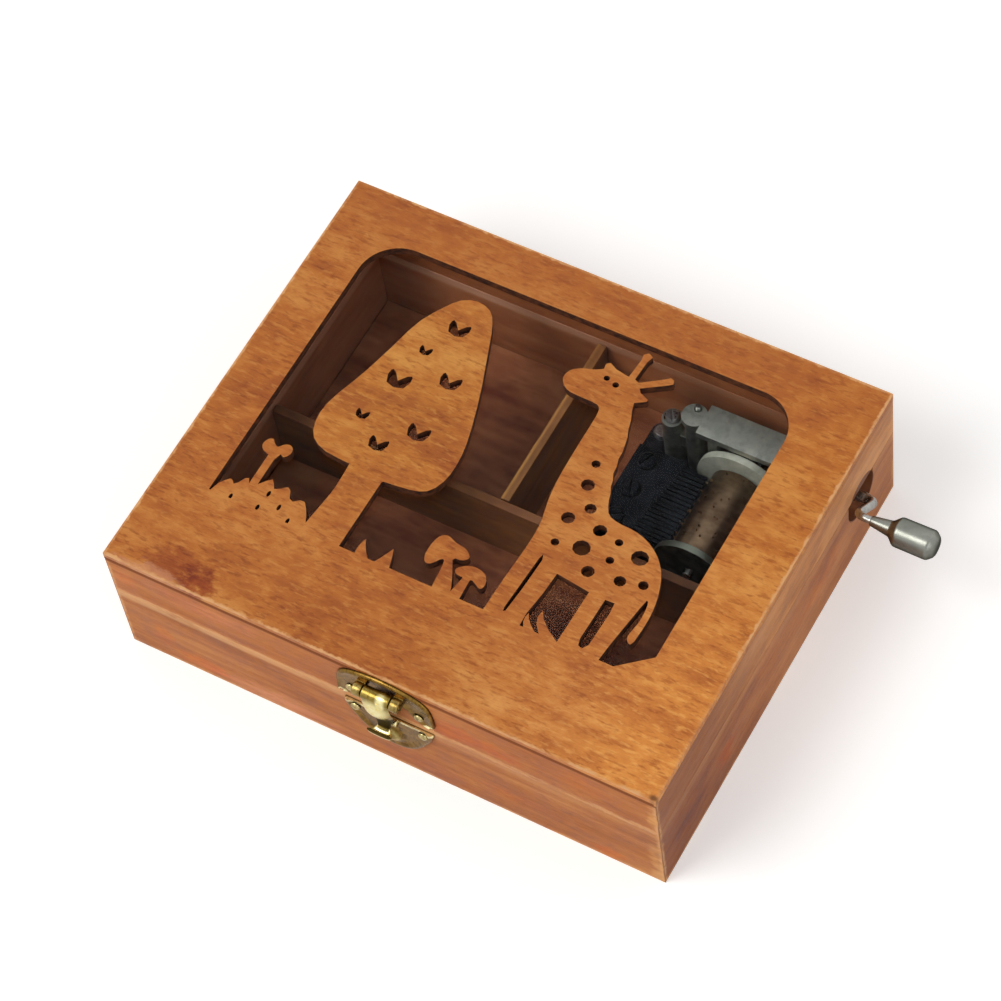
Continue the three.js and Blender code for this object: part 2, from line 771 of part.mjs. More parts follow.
const flowerShares = [
  [0.14, 0], [0.12, 0.76], [0.36, 0.81], [0.48, 0.9], [0.42, 0.975], [0.28, 1],
  [0.12, 0.975], [-0.02, 0.91], [-0.17, 0.94], [-0.3, 0.99], [-0.45, 0.95],
  [-0.5, 0.86], [-0.36, 0.79], [-0.14, 0.76], [-0.14, 0],
];
const grassPlaceShares = [
  [0.361, -0.35, 0.9], [0.409, 0.1, 1], [0.746, -0.7, 0.75], [0.788, -0.95, 1.15],
];

// A blade of grass: the lean moves its tip sideways by a share of its width.
function bladeFigure(footShare, lean, growth) {
  const footX = windowLeft + footShare * windowWidth;
  const width = bladeWidth * growth;
  const tipX = footX + lean * width;
  const tipY = windowSill + bladeHeight * growth;
  const shape = new THREE.Shape();
  shape.moveTo(footX + width / 2, windowSill - figureRoot);
  shape.lineTo(footX + width / 2, windowSill);
  shape.quadraticCurveTo(tipX + width / 4, (windowSill + tipY) / 2, tipX, tipY);
  shape.quadraticCurveTo(tipX - width / 4, (windowSill + tipY) / 2, footX - width / 2, windowSill);
  shape.lineTo(footX - width / 2, windowSill - figureRoot);
  return plate(shape, lidPanelThickness, curveSteps / 2);
}

function plantFigure(shares, width, height, footShare, holes = []) {
  const footX = windowLeft + footShare * windowWidth;
  const inner = shares.slice(1, -1);
  const shape = figureShape([
    { smooth: false, shares: shares.slice(0, 1) },
    { smooth: true, shares: inner },
    { smooth: false, shares: shares.slice(-1) },
  ], width, height, footX);
  for (const place of scaled(holes, width, height, footX, windowSill)) {
    shape.holes.push(ovalHole(place.x, place.y, bushHoleRadius, 2 * bushHoleRadius, 0));
  }
  return plate(shape, lidPanelThickness, outlineSteps);
}

const frettedPanel = joined(
  panelBoard(),
  treeFigure(),
  giraffeFigure(),
  plantFigure(bigToadstoolShares, bigToadstoolWidth, bigToadstoolHeight, bigToadstoolFootShare),
  plantFigure(smallToadstoolShares, smallToadstoolWidth, smallToadstoolHeight, smallToadstoolFootShare),
  plantFigure(bushShares, bushWidth, bushHeight, bushFootShare, bushHoleShares),
  plantFigure(flowerShares, flowerWidth, flowerHeight, flowerFootShare),
  ...grassPlaceShares.map(([share, lean, growth]) => bladeFigure(share, lean, growth)),
);
const panelMesh = addPiece(lid, 'lid_panel', frettedPanel, 'wood');
panelMesh.position.z = lidRailHeight;

// Round headed nail along y, head outwards on +y, seated on y = 0
function nailGeometry() {
  const profile = [
    new THREE.Vector2(0, -nailLength),
    new THREE.Vector2(nailShankRadius, -nailLength + nailHeadRadius),
    new THREE.Vector2(nailShankRadius, 0),
    new THREE.Vector2(nailHeadRadius, 0),
    new THREE.Vector2(nailHeadRadius / 2, nailHeadRise),
    new THREE.Vector2(0, nailHeadRise),
  ];
  return new THREE.LatheGeometry(profile, smallSides);
}

// Latch: plates, loops and pin on the lid, flap on the pin, lower plate on the base
const latch = addGroup(musicBox, latchX, -halfDepth, 0);
const latchPinOut = platingThickness + latchKnuckleGap + latchKnuckleRadius;
const loopInner = flapWidth / 2 + latchKnuckleGap;
const loopOuter = loopInner + latchLoopWidth;

const upperPlateHalfShares = [
  [0, 1], [0.34, 0.97], [0.64, 0.89], [0.82, 0.8], [0.93, 0.66], [0.985, 0.42], [1, 0.1],
  [0.97, 0], [0.86, 0], [0.7, 0.06], [0.56, 0.17], [0.47, 0.34], [0.3, 0.4],
];
const lowerPlateHalfShares = [
  [0, 0], [0.25, 0.03], [0.48, 0.14], [0.67, 0.33], [0.82, 0.55], [0.94, 0.76], [1, 0.96],
  [0.97, 1],
];

function mirroredShape(halfShares, width, height, foot) {
  const right = scaled(halfShares, width / 2, height, 0, foot);
  const left = right.slice(1).reverse().map((place) => new THREE.Vector2(-place.x, place.y));
  return new THREE.Shape([...right, ...left]);
}

function drilled(geometry, places) {
  return cut(geometry, ...places.map((place) => bar(
    nailHoleRadius,
    [place.x, -platingThickness - overrun, place.y],
    [place.x, overrun, place.y],
  )));
}

function latchLoop(side) {
  const near = side * loopInner;
  const far = side * loopOuter;
  const loop = bar(
    latchKnuckleRadius,
    [near, -latchPinOut, latchPinHeight],
    [far, -latchPinOut, latchPinHeight],
    roundSides,
  );
  const web = block(
    [Math.min(near, far), -latchPinOut, latchPinHeight - latchKnuckleRadius / 2],
    [Math.max(near, far), -platingThickness / 2, latchPinHeight + latchKnuckleRadius / 2],
  );
  return joined(loop, web);
}

function latchBore() {
  return bar(
    latchPinRadius + latchKnuckleGap,
    [-loopOuter - overrun, -latchPinOut, latchPinHeight],
    [loopOuter + overrun, -latchPinOut, latchPinHeight],
  );
}

const upperOutline = mirroredShape(upperPlateHalfShares, upperPlateWidth, upperPlateHeight, upperPlateFoot);
const upperPlate = drilled(facePlate(upperOutline, platingThickness), upperNails);
const loopedPlate = joined(upperPlate, latchLoop(-1), latchLoop(1));
addPiece(latch, 'latch_upper_plate', cut(loopedPlate, latchBore()), 'brass');

const latchPin = bar(
  latchPinRadius,
  [-loopOuter, -latchPinOut, latchPinHeight],
  [loopOuter, -latchPinOut, latchPinHeight],
);
addPiece(latch, 'latch_pin', latchPin, 'brass');

// The flap: bent sheet seen from the side, trimmed to its outline seen from the
// front, with a knuckle round the pin.
const flapPathShares = [
  [0.52, 0], [0.74, 0.17], [0.84, 0.33], [0.46, 0.5], [0.05, 0.66], [-0.04, 0.82],
  [0.14, 0.945], [0.55, 1], [0.92, 0.965], [1, 0.9],
];
const flapTrimShares = [
  [0.5, -0.2], [0.5, 0.38], [0.4, 0.52], [0.21, 0.63], [0.21, 0.8], [0.42, 0.89], [0.46, 1.2],
];

function flapGeometry() {
  const path = flapPathShares.map(([out, down]) => new THREE.Vector2(
    -latchPinOut - out * flapReach,
    latchPinHeight - down * flapDrop,
  ));
  const strip = plate(stripShape(new THREE.SplineCurve(path), flapThickness, fineSides / 2), flapWidth);
  strip.rotateX(quarterTurn);
  strip.rotateZ(quarterTurn);
  strip.translate(-flapWidth / 2, 0, 0);
  const trimScale = flapWidth;
  const right = flapTrimShares.map(([half, down]) => new THREE.Vector2(
    half * trimScale,
    latchPinHeight - down * flapDrop,
  ));
  const left = right.map((place) => new THREE.Vector2(-place.x, place.y)).reverse();
  const trimDepth = latchPinOut + 2 * flapReach;
  const trim = facePlate(new THREE.Shape([...right, ...left]), trimDepth);
  const knuckle = bar(
    latchKnuckleRadius,
    [-flapWidth / 2, -latchPinOut, latchPinHeight],
    [flapWidth / 2, -latchPinOut, latchPinHeight],
    roundSides,
  );
  return cut(joined(common(strip, trim), knuckle), latchBore());
}

addPiece(latch, 'latch_flap', flapGeometry(), 'brass');

function lowerPlateGeometry() {
  const outline = mirroredShape(lowerPlateHalfShares, lowerPlateWidth, lowerPlateHeight, lowerPlateFoot);
  const body = facePlate(outline, platingThickness);
  const catchBar = bar(
    catchRadius,
    [-catchWidth / 2, -platingThickness, catchHeight],
    [catchWidth / 2, -platingThickness, catchHeight],
    roundSides,
  );
  const dome = new THREE.SphereGeometry(domeRadius, roundSides, smallSides);
  dome.scale(1, domeRise / domeRadius, 1);
  dome.translate(0, -platingThickness, domeHeight);
  const proud = platingThickness + catchRadius + domeRise;
  const front = block(
    [-lowerPlateWidth, -proud, lowerPlateFoot],
    [lowerPlateWidth, 0, baseHeight - lowerPlateDrop],
  );
  return drilled(common(joined(body, catchBar, dome), front), lowerNails);
}

addPiece(latch, 'latch_lower_plate', lowerPlateGeometry(), 'brass');

[...upperNails, ...lowerNails].forEach((place, index) => {
  const nail = addPiece(latch, `latch_nail_${index + 1}`, nailGeometry(), 'brass');
  nail.rotation.z = halfTurn;
  nail.position.set(place.x, -platingThickness, place.y);
});

// Butt hinge: drawn as on the front face, then turned to the back
const hingeOut = hingeKnuckleRadius + hingeClearance;
const knuckleWidth = hingeLeafWidth / 3;

function hingeLeaf(direction, spans) {
  const leafLow = hingeKnuckleRadius + hingeClearance;
  const tall = block(
    [-hingeLeafWidth / 2, -platingThickness, leafLow],
    [hingeLeafWidth / 2, 0, hingeLeafHeight],
  );
  const parts = spans.flatMap(([from, to]) => [
    bar(hingeKnuckleRadius, [from, -hingeOut, 0], [to, -hingeOut, 0], roundSides),
    block([from, -platingThickness, 0], [to, 0, leafLow + platingThickness]),
  ]);
  const bore = bar(
    hingePinRadius + hingeClearance,
    [-hingeLeafWidth, -hingeOut, 0],
    [hingeLeafWidth, -hingeOut, 0],
  );
  const holes = [-1, 1].map((side) => bar(
    nailHoleRadius,
    [side * hingeNailSpacing / 2, -platingThickness - overrun, hingeNailRise],
    [side * hingeNailSpacing / 2, overrun, hingeNailRise],
  ));
  const leaf = cut(joined(tall, ...parts), bore, ...holes);
  if (direction < 0) leaf.applyMatrix4(new THREE.Matrix4().makeRotationY(halfTurn));
  return leaf;
}

['left', 'right'].forEach((label, index) => {
  const side = index === 0 ? -1 : 1;
  const hinge = addGroup(musicBox, side * (halfWidth - hingeInset), halfDepth, seamMiddle);
  hinge.rotation.z = halfTurn;
  const edge = hingeLeafWidth / 2;
  const inner = knuckleWidth / 2 + hingeClearance;
  addPiece(hinge, `hinge_${label}_lid_leaf`, hingeLeaf(1, [[-knuckleWidth / 2, knuckleWidth / 2]]), 'brass');
  addPiece(hinge, `hinge_${label}_base_leaf`, hingeLeaf(-1, [[-edge, -inner], [inner, edge]]), 'brass');
  const pin = bar(hingePinRadius, [-edge, -hingeOut, 0], [edge, -hingeOut, 0]);
  addPiece(hinge, `hinge_${label}_pin`, pin, 'brass');
  for (const level of [1, -1]) {
    for (const place of [-1, 1]) {
      const owner = level > 0 ? 'lid' : 'base';
      const number = place > 0 ? 2 : 1;
      const nail = addPiece(hinge, `hinge_${label}_${owner}_nail_${number}`, nailGeometry(), 'brass');
      nail.rotation.z = halfTurn;
      nail.position.set(place * hingeNailSpacing / 2, -platingThickness, level * hingeNailRise);
    }
  }
});

// Movement, on the floor of the box
const movement = addGroup(musicBox, movementX, movementY, bottomThickness);

function slottedScrew(headRadius) {
  const profile = [
    new THREE.Vector2(0, -screwLength),
    new THREE.Vector2(screwShankRadius, -screwLength + screwShankRadius / 2),
    new THREE.Vector2(screwShankRadius, 0),
    new THREE.Vector2(headRadius, 0),
    new THREE.Vector2(headRadius, screwHeadHeight / 2),
    new THREE.Vector2(headRadius * 3 / 4, screwHeadHeight),
    new THREE.Vector2(0, screwHeadHeight),
  ];
  const screw = new THREE.LatheGeometry(profile, roundSides);
  screw.rotateX(quarterTurn);
  const slot = block(
    [-headRadius - overrun, -screwSlotWidth / 2, screwHeadHeight - screwSlotDepth],
    [headRadius + overrun, screwSlotWidth / 2, screwHeadHeight + overrun],
  );
  return cut(screw, slot);
}

function screwHole(x, y, top) {
  const radius = screwShankRadius + runningGap;
  return bar(radius, [x, y, top - screwLength - runningGap], [x, y, top + overrun]);
}

function addScrew(name, x, y, seat, headRadius, turned) {
  const screw = addPiece(movement, name, slottedScrew(headRadius), 'zinc');
  screw.position.set(x, y, seat);
  screw.rotation.z = turned;
}

const combTop = axisRise + combLift;
const combFloor = combTop - combThickness;
const combHalf = toothCount * toothPitch / 2;
const combFront = drumY - combHalf - combSideMargin;
const combBack = drumY + combHalf + combSideMargin;
const combScrewPlaces = [-1, 0, 1].map((place) => drumY + place * (combHalf - combScrewHeadRadius));
const combScrewTurns = [0.5, 1.9, 1.1];
const screwTurns = [0.3, 2.1, 1.2];

function bedplateGeometry() {
  const board = plate(
    roundedRectangle(bedplateLeft, bedplateRight, bedplateFront, bedplateBack, bedplateCorner),
    bedplateThickness,
  );
  const seat = block([combLeft, combFront, 0], [combSeatRight, combBack, combFloor]);
  const groove = bar(
    grooveRadius,
    [0, drumFront - runningGap, axisRise],
    [0, drumBack + runningGap, axisRise],
    fineSides,
  );
  const wheelEnd = wheelWidth / 2 + wheelHubLength + runningGap;
  const well = bar(wheelTipRadius + grooveGap, [0, -wheelEnd, axisRise], [0, wheelEnd, axisRise], fineSides);
  const mounting = bedplateScrewPlaces.map(([x, y]) => screwHole(x, y, bedplateThickness));
  const combHoles = combScrewPlaces.map((y) => screwHole(combScrewX, y, combFloor));
  return cut(joined(board, seat), groove, well, ...mounting, ...combHoles);
}

addPiece(movement, 'bedplate', bedplateGeometry(), 'darkSteel');
bedplateScrewPlaces.forEach(([x, y], index) => {
  addScrew(`bedplate_screw_${index + 1}`, x, y, bedplateThickness, screwHeadRadius, screwTurns[index]);
});

// Comb: long bass teeth at the front, short treble teeth at the back, thinned
// on their underside and cut from one plate.
function combGeometry() {
  const near = drumY - combHalf + (toothPitch - toothWidth) / 2;
  const outline = new THREE.Shape();
  outline.moveTo(combLeft, combFront);
  outline.lineTo(bassRootX, combFront);
  for (let tooth = 0; tooth < toothCount; tooth += 1) {
    const rise = tooth / (toothCount - 1);
    const rootX = bassRootX + rise * (trebleRootX - bassRootX);
    const edge = near + tooth * toothPitch;
    outline.lineTo(rootX, edge);
    outline.lineTo(tipX, edge);
    outline.lineTo(tipX, edge + toothWidth);
    outline.lineTo(rootX, edge + toothWidth);
  }
  outline.lineTo(trebleRootX, combBack);
  outline.lineTo(combLeft, combBack);
  const body = plate(outline, combThickness);
  body.translate(0, 0, combFloor);
  const relief = new THREE.Shape();
  relief.moveTo(bassRootX, combFloor - overrun);
  relief.lineTo(tipX + overrun, combFloor - overrun);
  relief.lineTo(tipX + overrun, combTop - combReliefThickness);
  relief.lineTo(trebleRootX + combThickness, combTop - combReliefThickness);
  const wedge = facePlate(relief, combBack - combFront);
  wedge.translate(0, combBack, 0);
  const holes = combScrewPlaces.map((y) => bar(
    screwShankRadius + runningGap,
    [combScrewX, y, combFloor - overrun],
    [combScrewX, y, combTop + overrun],
  ));
  return cut(body, wedge, ...holes);
}

addPiece(movement, 'comb', combGeometry(), 'darkSteel');
combScrewPlaces.forEach((y, index) => {
  addScrew(`comb_screw_${index + 1}`, combScrewX, y, combTop, combScrewHeadRadius, combScrewTurns[index]);
});

// Pinned cylinder: one or two pins at each step of the turn
function noteTracks(step) {
  const lead = (step * leadStride + leadStart) % toothCount;
  const harmony = (step * harmonyStride + harmonyStart) % toothCount;
  return step % 2 === 0 && harmony !== lead ? [lead, harmony] : [lead];
}

function drumGeometry() {
  const end = drumLength / 2;
  const bore = arborRadius + runningGap;
  const rim = drumRadius - drumRim;
  const profile = [
    [bore, -end], [drumHub, -end], [drumHub, -end + drumRecess], [rim, -end + drumRecess],
    [rim, -end], [drumRadius, -end], [drumRadius, end], [rim, end], [rim, end - drumRecess],
    [drumHub, end - drumRecess], [drumHub, end], [bore, end], [bore, -end],
  ].map(([radius, along]) => new THREE.Vector2(radius, along));
  const parts = [new THREE.LatheGeometry(profile, fineSides)];
  for (let step = 0; step < pinSteps; step += 1) {
    const angle = turn * step / pinSteps;
    for (const track of noteTracks(step)) {
      const pin = new THREE.CylinderGeometry(pinRadius / 2, pinRadius, 2 * pinLength, pinSides);
      pin.rotateX(quarterTurn);
      pin.translate(0, (track + 1 / 2) * toothPitch - combHalf, drumRadius);
      pin.rotateY(angle);
      parts.push(pin);
    }
  }
  return joined(...parts);
}

const train = addGroup(movement, 0, 0, axisRise);
const drum = addPiece(train, 'pinned_cylinder', drumGeometry(), 'drumBrass');
drum.position.y = drumY;

const arborFront = frontBracketFront - arborOverhang;
const arborBack = wheelWidth / 2 + arborOverhang;
const arbor = bar(arborRadius, [0, arborFront, 0], [0, arborBack, 0], roundSides);
addPiece(train, 'cylinder_arbor', arbor, 'steel');

// Bearing brackets: plates with a round top, standing on the bedplate
function bearingBracket(radius, front) {
  const foot = bedplateThickness - axisRise;
  const outline = new THREE.Shape();
  outline.moveTo(-radius, foot);
  outline.lineTo(radius, foot);
  outline.absarc(0, 0, radius, 0, halfTurn);
  outline.holes.push(circle(0, 0, arborRadius + runningGap));
  const bracket = facePlate(outline, bracketThickness, smallSides);
  bracket.translate(0, front + bracketThickness, 0);
  return bracket;
}

addPiece(train, 'front_bearing_bracket', bearingBracket(frontArchRadius, frontBracketFront), 'darkSteel');
addPiece(train, 'back_bearing_bracket', bearingBracket(backArchRadius, backBracketFront), 'zinc');

// Worm wheel: teeth twisted to follow the worm thread, with a gap at the top
function wormWheelGeometry() {
  const step = turn / wheelTeeth;
  const corner = (radius, angle, shift) => new THREE.Vector2(
    radius * Math.sin(angle) + shift * Math.cos(angle),
    radius * Math.cos(angle) - shift * Math.sin(angle),
  );
  const rootWidth = toothRootShare * gearModule;
  const tipWidth = toothTipShare * gearModule;
  const corners = [];
  for (let tooth = 0; tooth < wheelTeeth; tooth += 1) {
    const middle = -(tooth + 1 / 2) * step;
    corners.push(corner(wheelRootRadius, middle, rootWidth / 2));
    corners.push(corner(wheelTipRadius, middle, tipWidth / 2));
    corners.push(corner(wheelTipRadius, middle, -tipWidth / 2));
    corners.push(corner(wheelRootRadius, middle, -rootWidth / 2));
  }
  const outline = new THREE.Shape(corners);
  const rim = facePlate(outline, wheelWidth);
  rim.translate(0, wheelWidth / 2, 0);
  const twist = wormLead / (turn * wormPitchRadius * wheelPitchRadius);
  const position = rim.attributes.position;
  const point = new THREE.Vector3();
  const upright = new THREE.Vector3(0, 1, 0);
  for (let vertex = 0; vertex < position.count; vertex += 1) {
    point.fromBufferAttribute(position, vertex);
    point.applyAxisAngle(upright, twist * point.y);
    position.setXYZ(vertex, point.x, point.y, point.z);
  }
  const hubEnd = wheelWidth / 2 + wheelHubLength;
  const hub = bar(wheelHubRadius, [0, -hubEnd, 0], [0, 0, 0], roundSides);
  const bore = bar(arborRadius + runningGap, [0, -hubEnd - overrun, 0], [0, wheelWidth, 0], roundSides);
  return cut(joined(rim, hub), bore);
}

addPiece(train, 'worm_wheel', wormWheelGeometry(), 'drumBrass');

// Crank bracket: an arm over the worm on two legs that carry the shaft, with a
// pillar under the boss at its end and a screwed ear beyond it
function crankBracketGeometry() {
  const halfArm = armWidth / 2;
  const halfLeg = legWidth / 2;
  const arm = block([armLeft, -halfArm, armFloor], [armRight, halfArm, armTop]);
  const boss = bar(bossRadius, [bossX, 0, armFloor], [bossX, 0, armTop], roundSides);
  const neck = block([bossX, -neckWidth / 2, armFloor], [armLeft, neckWidth / 2, armTop]);
  const pillar = bar(pillarRadius, [bossX, 0, bedplateThickness], [bossX, 0, armTop], roundSides);
  const innerLeg = block([innerLegLeft, -halfLeg, bedplateThickness], [innerLegRight, halfLeg, armTop]);
  const outerLeg = block([outerLegLeft, -halfLeg, bedplateThickness], [outerLegRight, halfLeg, armTop]);
  const ear = bar(earRadius, [earX, 0, bedplateThickness], [earX, 0, earTop], roundSides);
  const web = block(
    [earX, -earWebWidth / 2, earTop - 2 * earWebHeight],
    [bossX, earWebWidth / 2, earTop - earWebHeight],
  );
  const shaftBore = bar(
    rodRadius + runningGap,
    [innerLegLeft - overrun, 0, crankRise],
    [outerLegRight + overrun, 0, crankRise],
    roundSides,
  );
  const studHole = bar(
    studRadius + runningGap,
    [bossX, studOffset, armFloor + runningGap],
    [bossX, studOffset, armTop + overrun],
  );
  const body = joined(arm, boss, neck, pillar, innerLeg, outerLeg, ear, web);
  return cut(body, shaftBore, studHole, screwHole(earX, 0, earTop));
}

addPiece(movement, 'crank_bracket', crankBracketGeometry(), 'zinc');
addScrew('bracket_screw', earX, 0, earTop, screwHeadRadius, screwTurns[1]);
addPiece(movement, 'bracket_stud', bar(
  studRadius,
  [bossX, studOffset, armFloor + 2 * runningGap],
  [bossX, studOffset, armTop + studRise],
), 'steel');

// Crank: turned to its rest angle about the shaft, its arm drawn along +z
const crank = addGroup(musicBox, movementX, movementY, crankHeight);
crank.rotation.x = crankRestAngle;
const wallFace = halfWidth - movementX;
const armX = wallFace + armStandOff;
const knobStart = wallFace + knobStandOff;
const knobBarrelStart = knobStart + knobNeckLength;
const knobEnd = knobBarrelStart + knobLength;

function crankRodGeometry() {
  const at = (x, z) => new THREE.Vector3(x, 0, z);
  const path = new THREE.CurvePath();
  path.add(new THREE.LineCurve3(at(innerLegLeft + rodEndGap, 0), at(armX - rodBend, 0)));
  path.add(new THREE.QuadraticBezierCurve3(at(armX - rodBend, 0), at(armX, 0), at(armX, rodBend)));
  path.add(new THREE.LineCurve3(at(armX, rodBend), at(armX, crankThrow - rodBend)));
  path.add(new THREE.QuadraticBezierCurve3(
    at(armX, crankThrow - rodBend),
    at(armX, crankThrow),
    at(armX + rodBend, crankThrow),
  ));
  const rodEnd = knobEnd - knobWall - runningGap;
  path.add(new THREE.LineCurve3(at(armX + rodBend, crankThrow), at(rodEnd, crankThrow)));
  const section = new THREE.Shape().absarc(0, 0, rodRadius, 0, turn);
  return new THREE.ExtrudeGeometry(section, {
    steps: rodSteps,
    extrudePath: path,
    curveSegments: rodCurveSteps,
  });
}

addPiece(crank, 'crank_rod', crankRodGeometry(), 'steel');

// Worm: one thread wound round a sleeve, run out to the root at both ends
function threadGeometry() {
  const turns = (wormLength - threadRootWidth) / wormLead;
  const rings = Math.round(turns * threadSides);
  const sunk = wormRootRadius - runningGap;
  const positions = [];
  const indices = [];
  for (let ring = 0; ring <= rings; ring += 1) {
    const x = (ring / rings - 1 / 2) * turns * wormLead;
    const angle = turn * x / wormLead - quarterTurn - crankRestAngle;
    const fade = Math.min(1, Math.min(ring, rings - ring) / (threadSides / 4));
    const tip = wormRootRadius + fade * (wormTipRadius - wormRootRadius);
    const section = [
      [-threadRootWidth / 2, sunk], [-threadTipWidth / 2, tip],
      [threadTipWidth / 2, tip], [threadRootWidth / 2, sunk],
    ];
    for (const [along, radius] of section) {
      positions.push(x + along, radius * Math.cos(angle), radius * Math.sin(angle));
    }
  }
  const sectionCount = 4;
  for (let ring = 0; ring < rings; ring += 1) {
    for (let corner = 0; corner < sectionCount; corner += 1) {
      const next = (corner + 1) % sectionCount;
      const here = ring * sectionCount;
      const there = here + sectionCount;
      indices.push(here + corner, there + corner, there + next);
      indices.push(here + corner, there + next, here + next);
    }
  }
  const last = rings * sectionCount;
  indices.push(0, 1, 2, 0, 2, 3);
  indices.push(last, last + 2, last + 1, last, last + 3, last + 2);
  const geometry = new THREE.BufferGeometry();
  geometry.setAttribute('position', new THREE.Float32BufferAttribute(positions, 3));
  geometry.setIndex(indices);
  return geometry;
}

function wormGeometry() {
  const end = wormLength / 2;
  const core = bar(wormRootRadius, [-end, 0, 0], [end, 0, 0], threadSides);
  const bore = bar(rodRadius + runningGap, [-end - overrun, 0, 0], [end + overrun, 0, 0], threadSides);
  return cut(joined(core, threadGeometry()), bore);
}

addPiece(crank, 'crank_worm', wormGeometry(), 'steel');

function collarGeometry() {
  const ring = bar(collarRadius, [0, 0, 0], [collarLength, 0, 0], roundSides);
  const boreEnd = collarLength + overrun;
  const bore = bar(rodRadius + runningGap, [-overrun, 0, 0], [boreEnd, 0, 0], roundSides);
  return cut(ring, bore);
}

const collar = addPiece(crank, 'crank_collar', collarGeometry(), 'steel');
collar.position.x = outerLegRight + 2 * runningGap;

// Knob: a turned sleeve with a tapered neck, closed at its outer end
function knobGeometry() {
  const bore = rodRadius + runningGap;
  const shoulder = knobNeckLength + knobChamfer;
  const total = knobNeckLength + knobLength;
  const profile = [
    [0, total - knobWall], [bore, total - knobWall], [bore, 0], [knobNeckRadius, 0],
    [knobCollarRadius, knobNeckLength], [knobRadius, shoulder],
    [knobRadius, total - knobEndRound],
    [knobRadius - knobEndRound / 3, total - knobEndRound / 3],
    [knobRadius - knobEndRound, total],
    [0, total + knobEndRound / 3],
  ].map(([radius, along]) => new THREE.Vector2(radius, along));
  const knob = new THREE.LatheGeometry(profile, roundSides);
  knob.rotateZ(-quarterTurn);
  return knob;
}

const knob = addPiece(crank, 'crank_knob', knobGeometry(), 'steel');
knob.position.set(knobStart, 0, crankThrow);

export default musicBox;
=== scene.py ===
"""Looks of the hand crank music box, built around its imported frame.

Sizes here are in millimetres; they become metres where a mesh is made. +X is the
crank side, -Y the latch side, +Z up.
"""

import itertools
import math

import bmesh
import bpy
import numpy as np
from mathutils import Matrix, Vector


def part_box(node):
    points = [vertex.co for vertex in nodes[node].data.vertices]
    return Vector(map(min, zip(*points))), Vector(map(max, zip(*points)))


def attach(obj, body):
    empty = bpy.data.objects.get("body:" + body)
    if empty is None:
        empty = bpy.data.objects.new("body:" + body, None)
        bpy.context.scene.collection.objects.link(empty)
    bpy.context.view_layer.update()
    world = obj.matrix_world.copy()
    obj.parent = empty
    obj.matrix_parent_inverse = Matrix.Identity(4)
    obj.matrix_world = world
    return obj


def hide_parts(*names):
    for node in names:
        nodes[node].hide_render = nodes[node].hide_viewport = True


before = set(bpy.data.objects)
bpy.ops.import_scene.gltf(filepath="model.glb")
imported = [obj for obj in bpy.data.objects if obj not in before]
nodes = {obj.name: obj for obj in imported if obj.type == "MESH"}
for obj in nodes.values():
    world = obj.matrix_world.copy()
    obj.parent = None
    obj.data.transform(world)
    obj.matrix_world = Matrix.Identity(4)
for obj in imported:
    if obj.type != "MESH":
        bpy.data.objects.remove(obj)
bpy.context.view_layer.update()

MM = 0.001
WELD = 1e-6
TURN = 2 * math.pi
ALONG_X = (1, 0, 0)
ALONG_Y = (0, 1, 0)
ALONG_Z = (0, 0, 1)

# Sizes shared with the frame
HALF_WIDTH = 62.5
HALF_DEPTH = 51.0
WALL = 6.0
SEAM = 21.05
LID_TOP = 35.0
PANEL_FOOT = 33.0
SHAFT = np.array([37.0, 36.0, 17.8])
REST_ANGLE = 0.83
CRANK_THROW = 11.5
CRANK_ARM_X = 65.7
DRUM_AXIS = np.array([37.0, 21.0, 10.2])
LATCH_X = 2.2
LATCH_PIN = (LATCH_X, -53.35, 31.2)
LATCH_BORE = 0.72
NAIL_SEAT = 51.7
LID_BOX = ((-HALF_WIDTH, -HALF_DEPTH, SEAM), (HALF_WIDTH, HALF_DEPTH, LID_TOP))
BASE_BOX = ((-HALF_WIDTH, -HALF_DEPTH, 0.0), (HALF_WIDTH, HALF_DEPTH, SEAM))
WHOLE_BOX = (BASE_BOX[0], LID_BOX[1])


# Colour helper
def linear(red, green, blue):
    """A screen colour, 0 to 255 a channel, as the linear values that shaders take."""
    screen = np.array([red, green, blue]) / 255
    low = screen / 12.92
    high = ((screen + 0.055) / 1.055) ** 2.4
    return (*np.where(screen <= 0.04045, low, high).tolist(), 1.0)


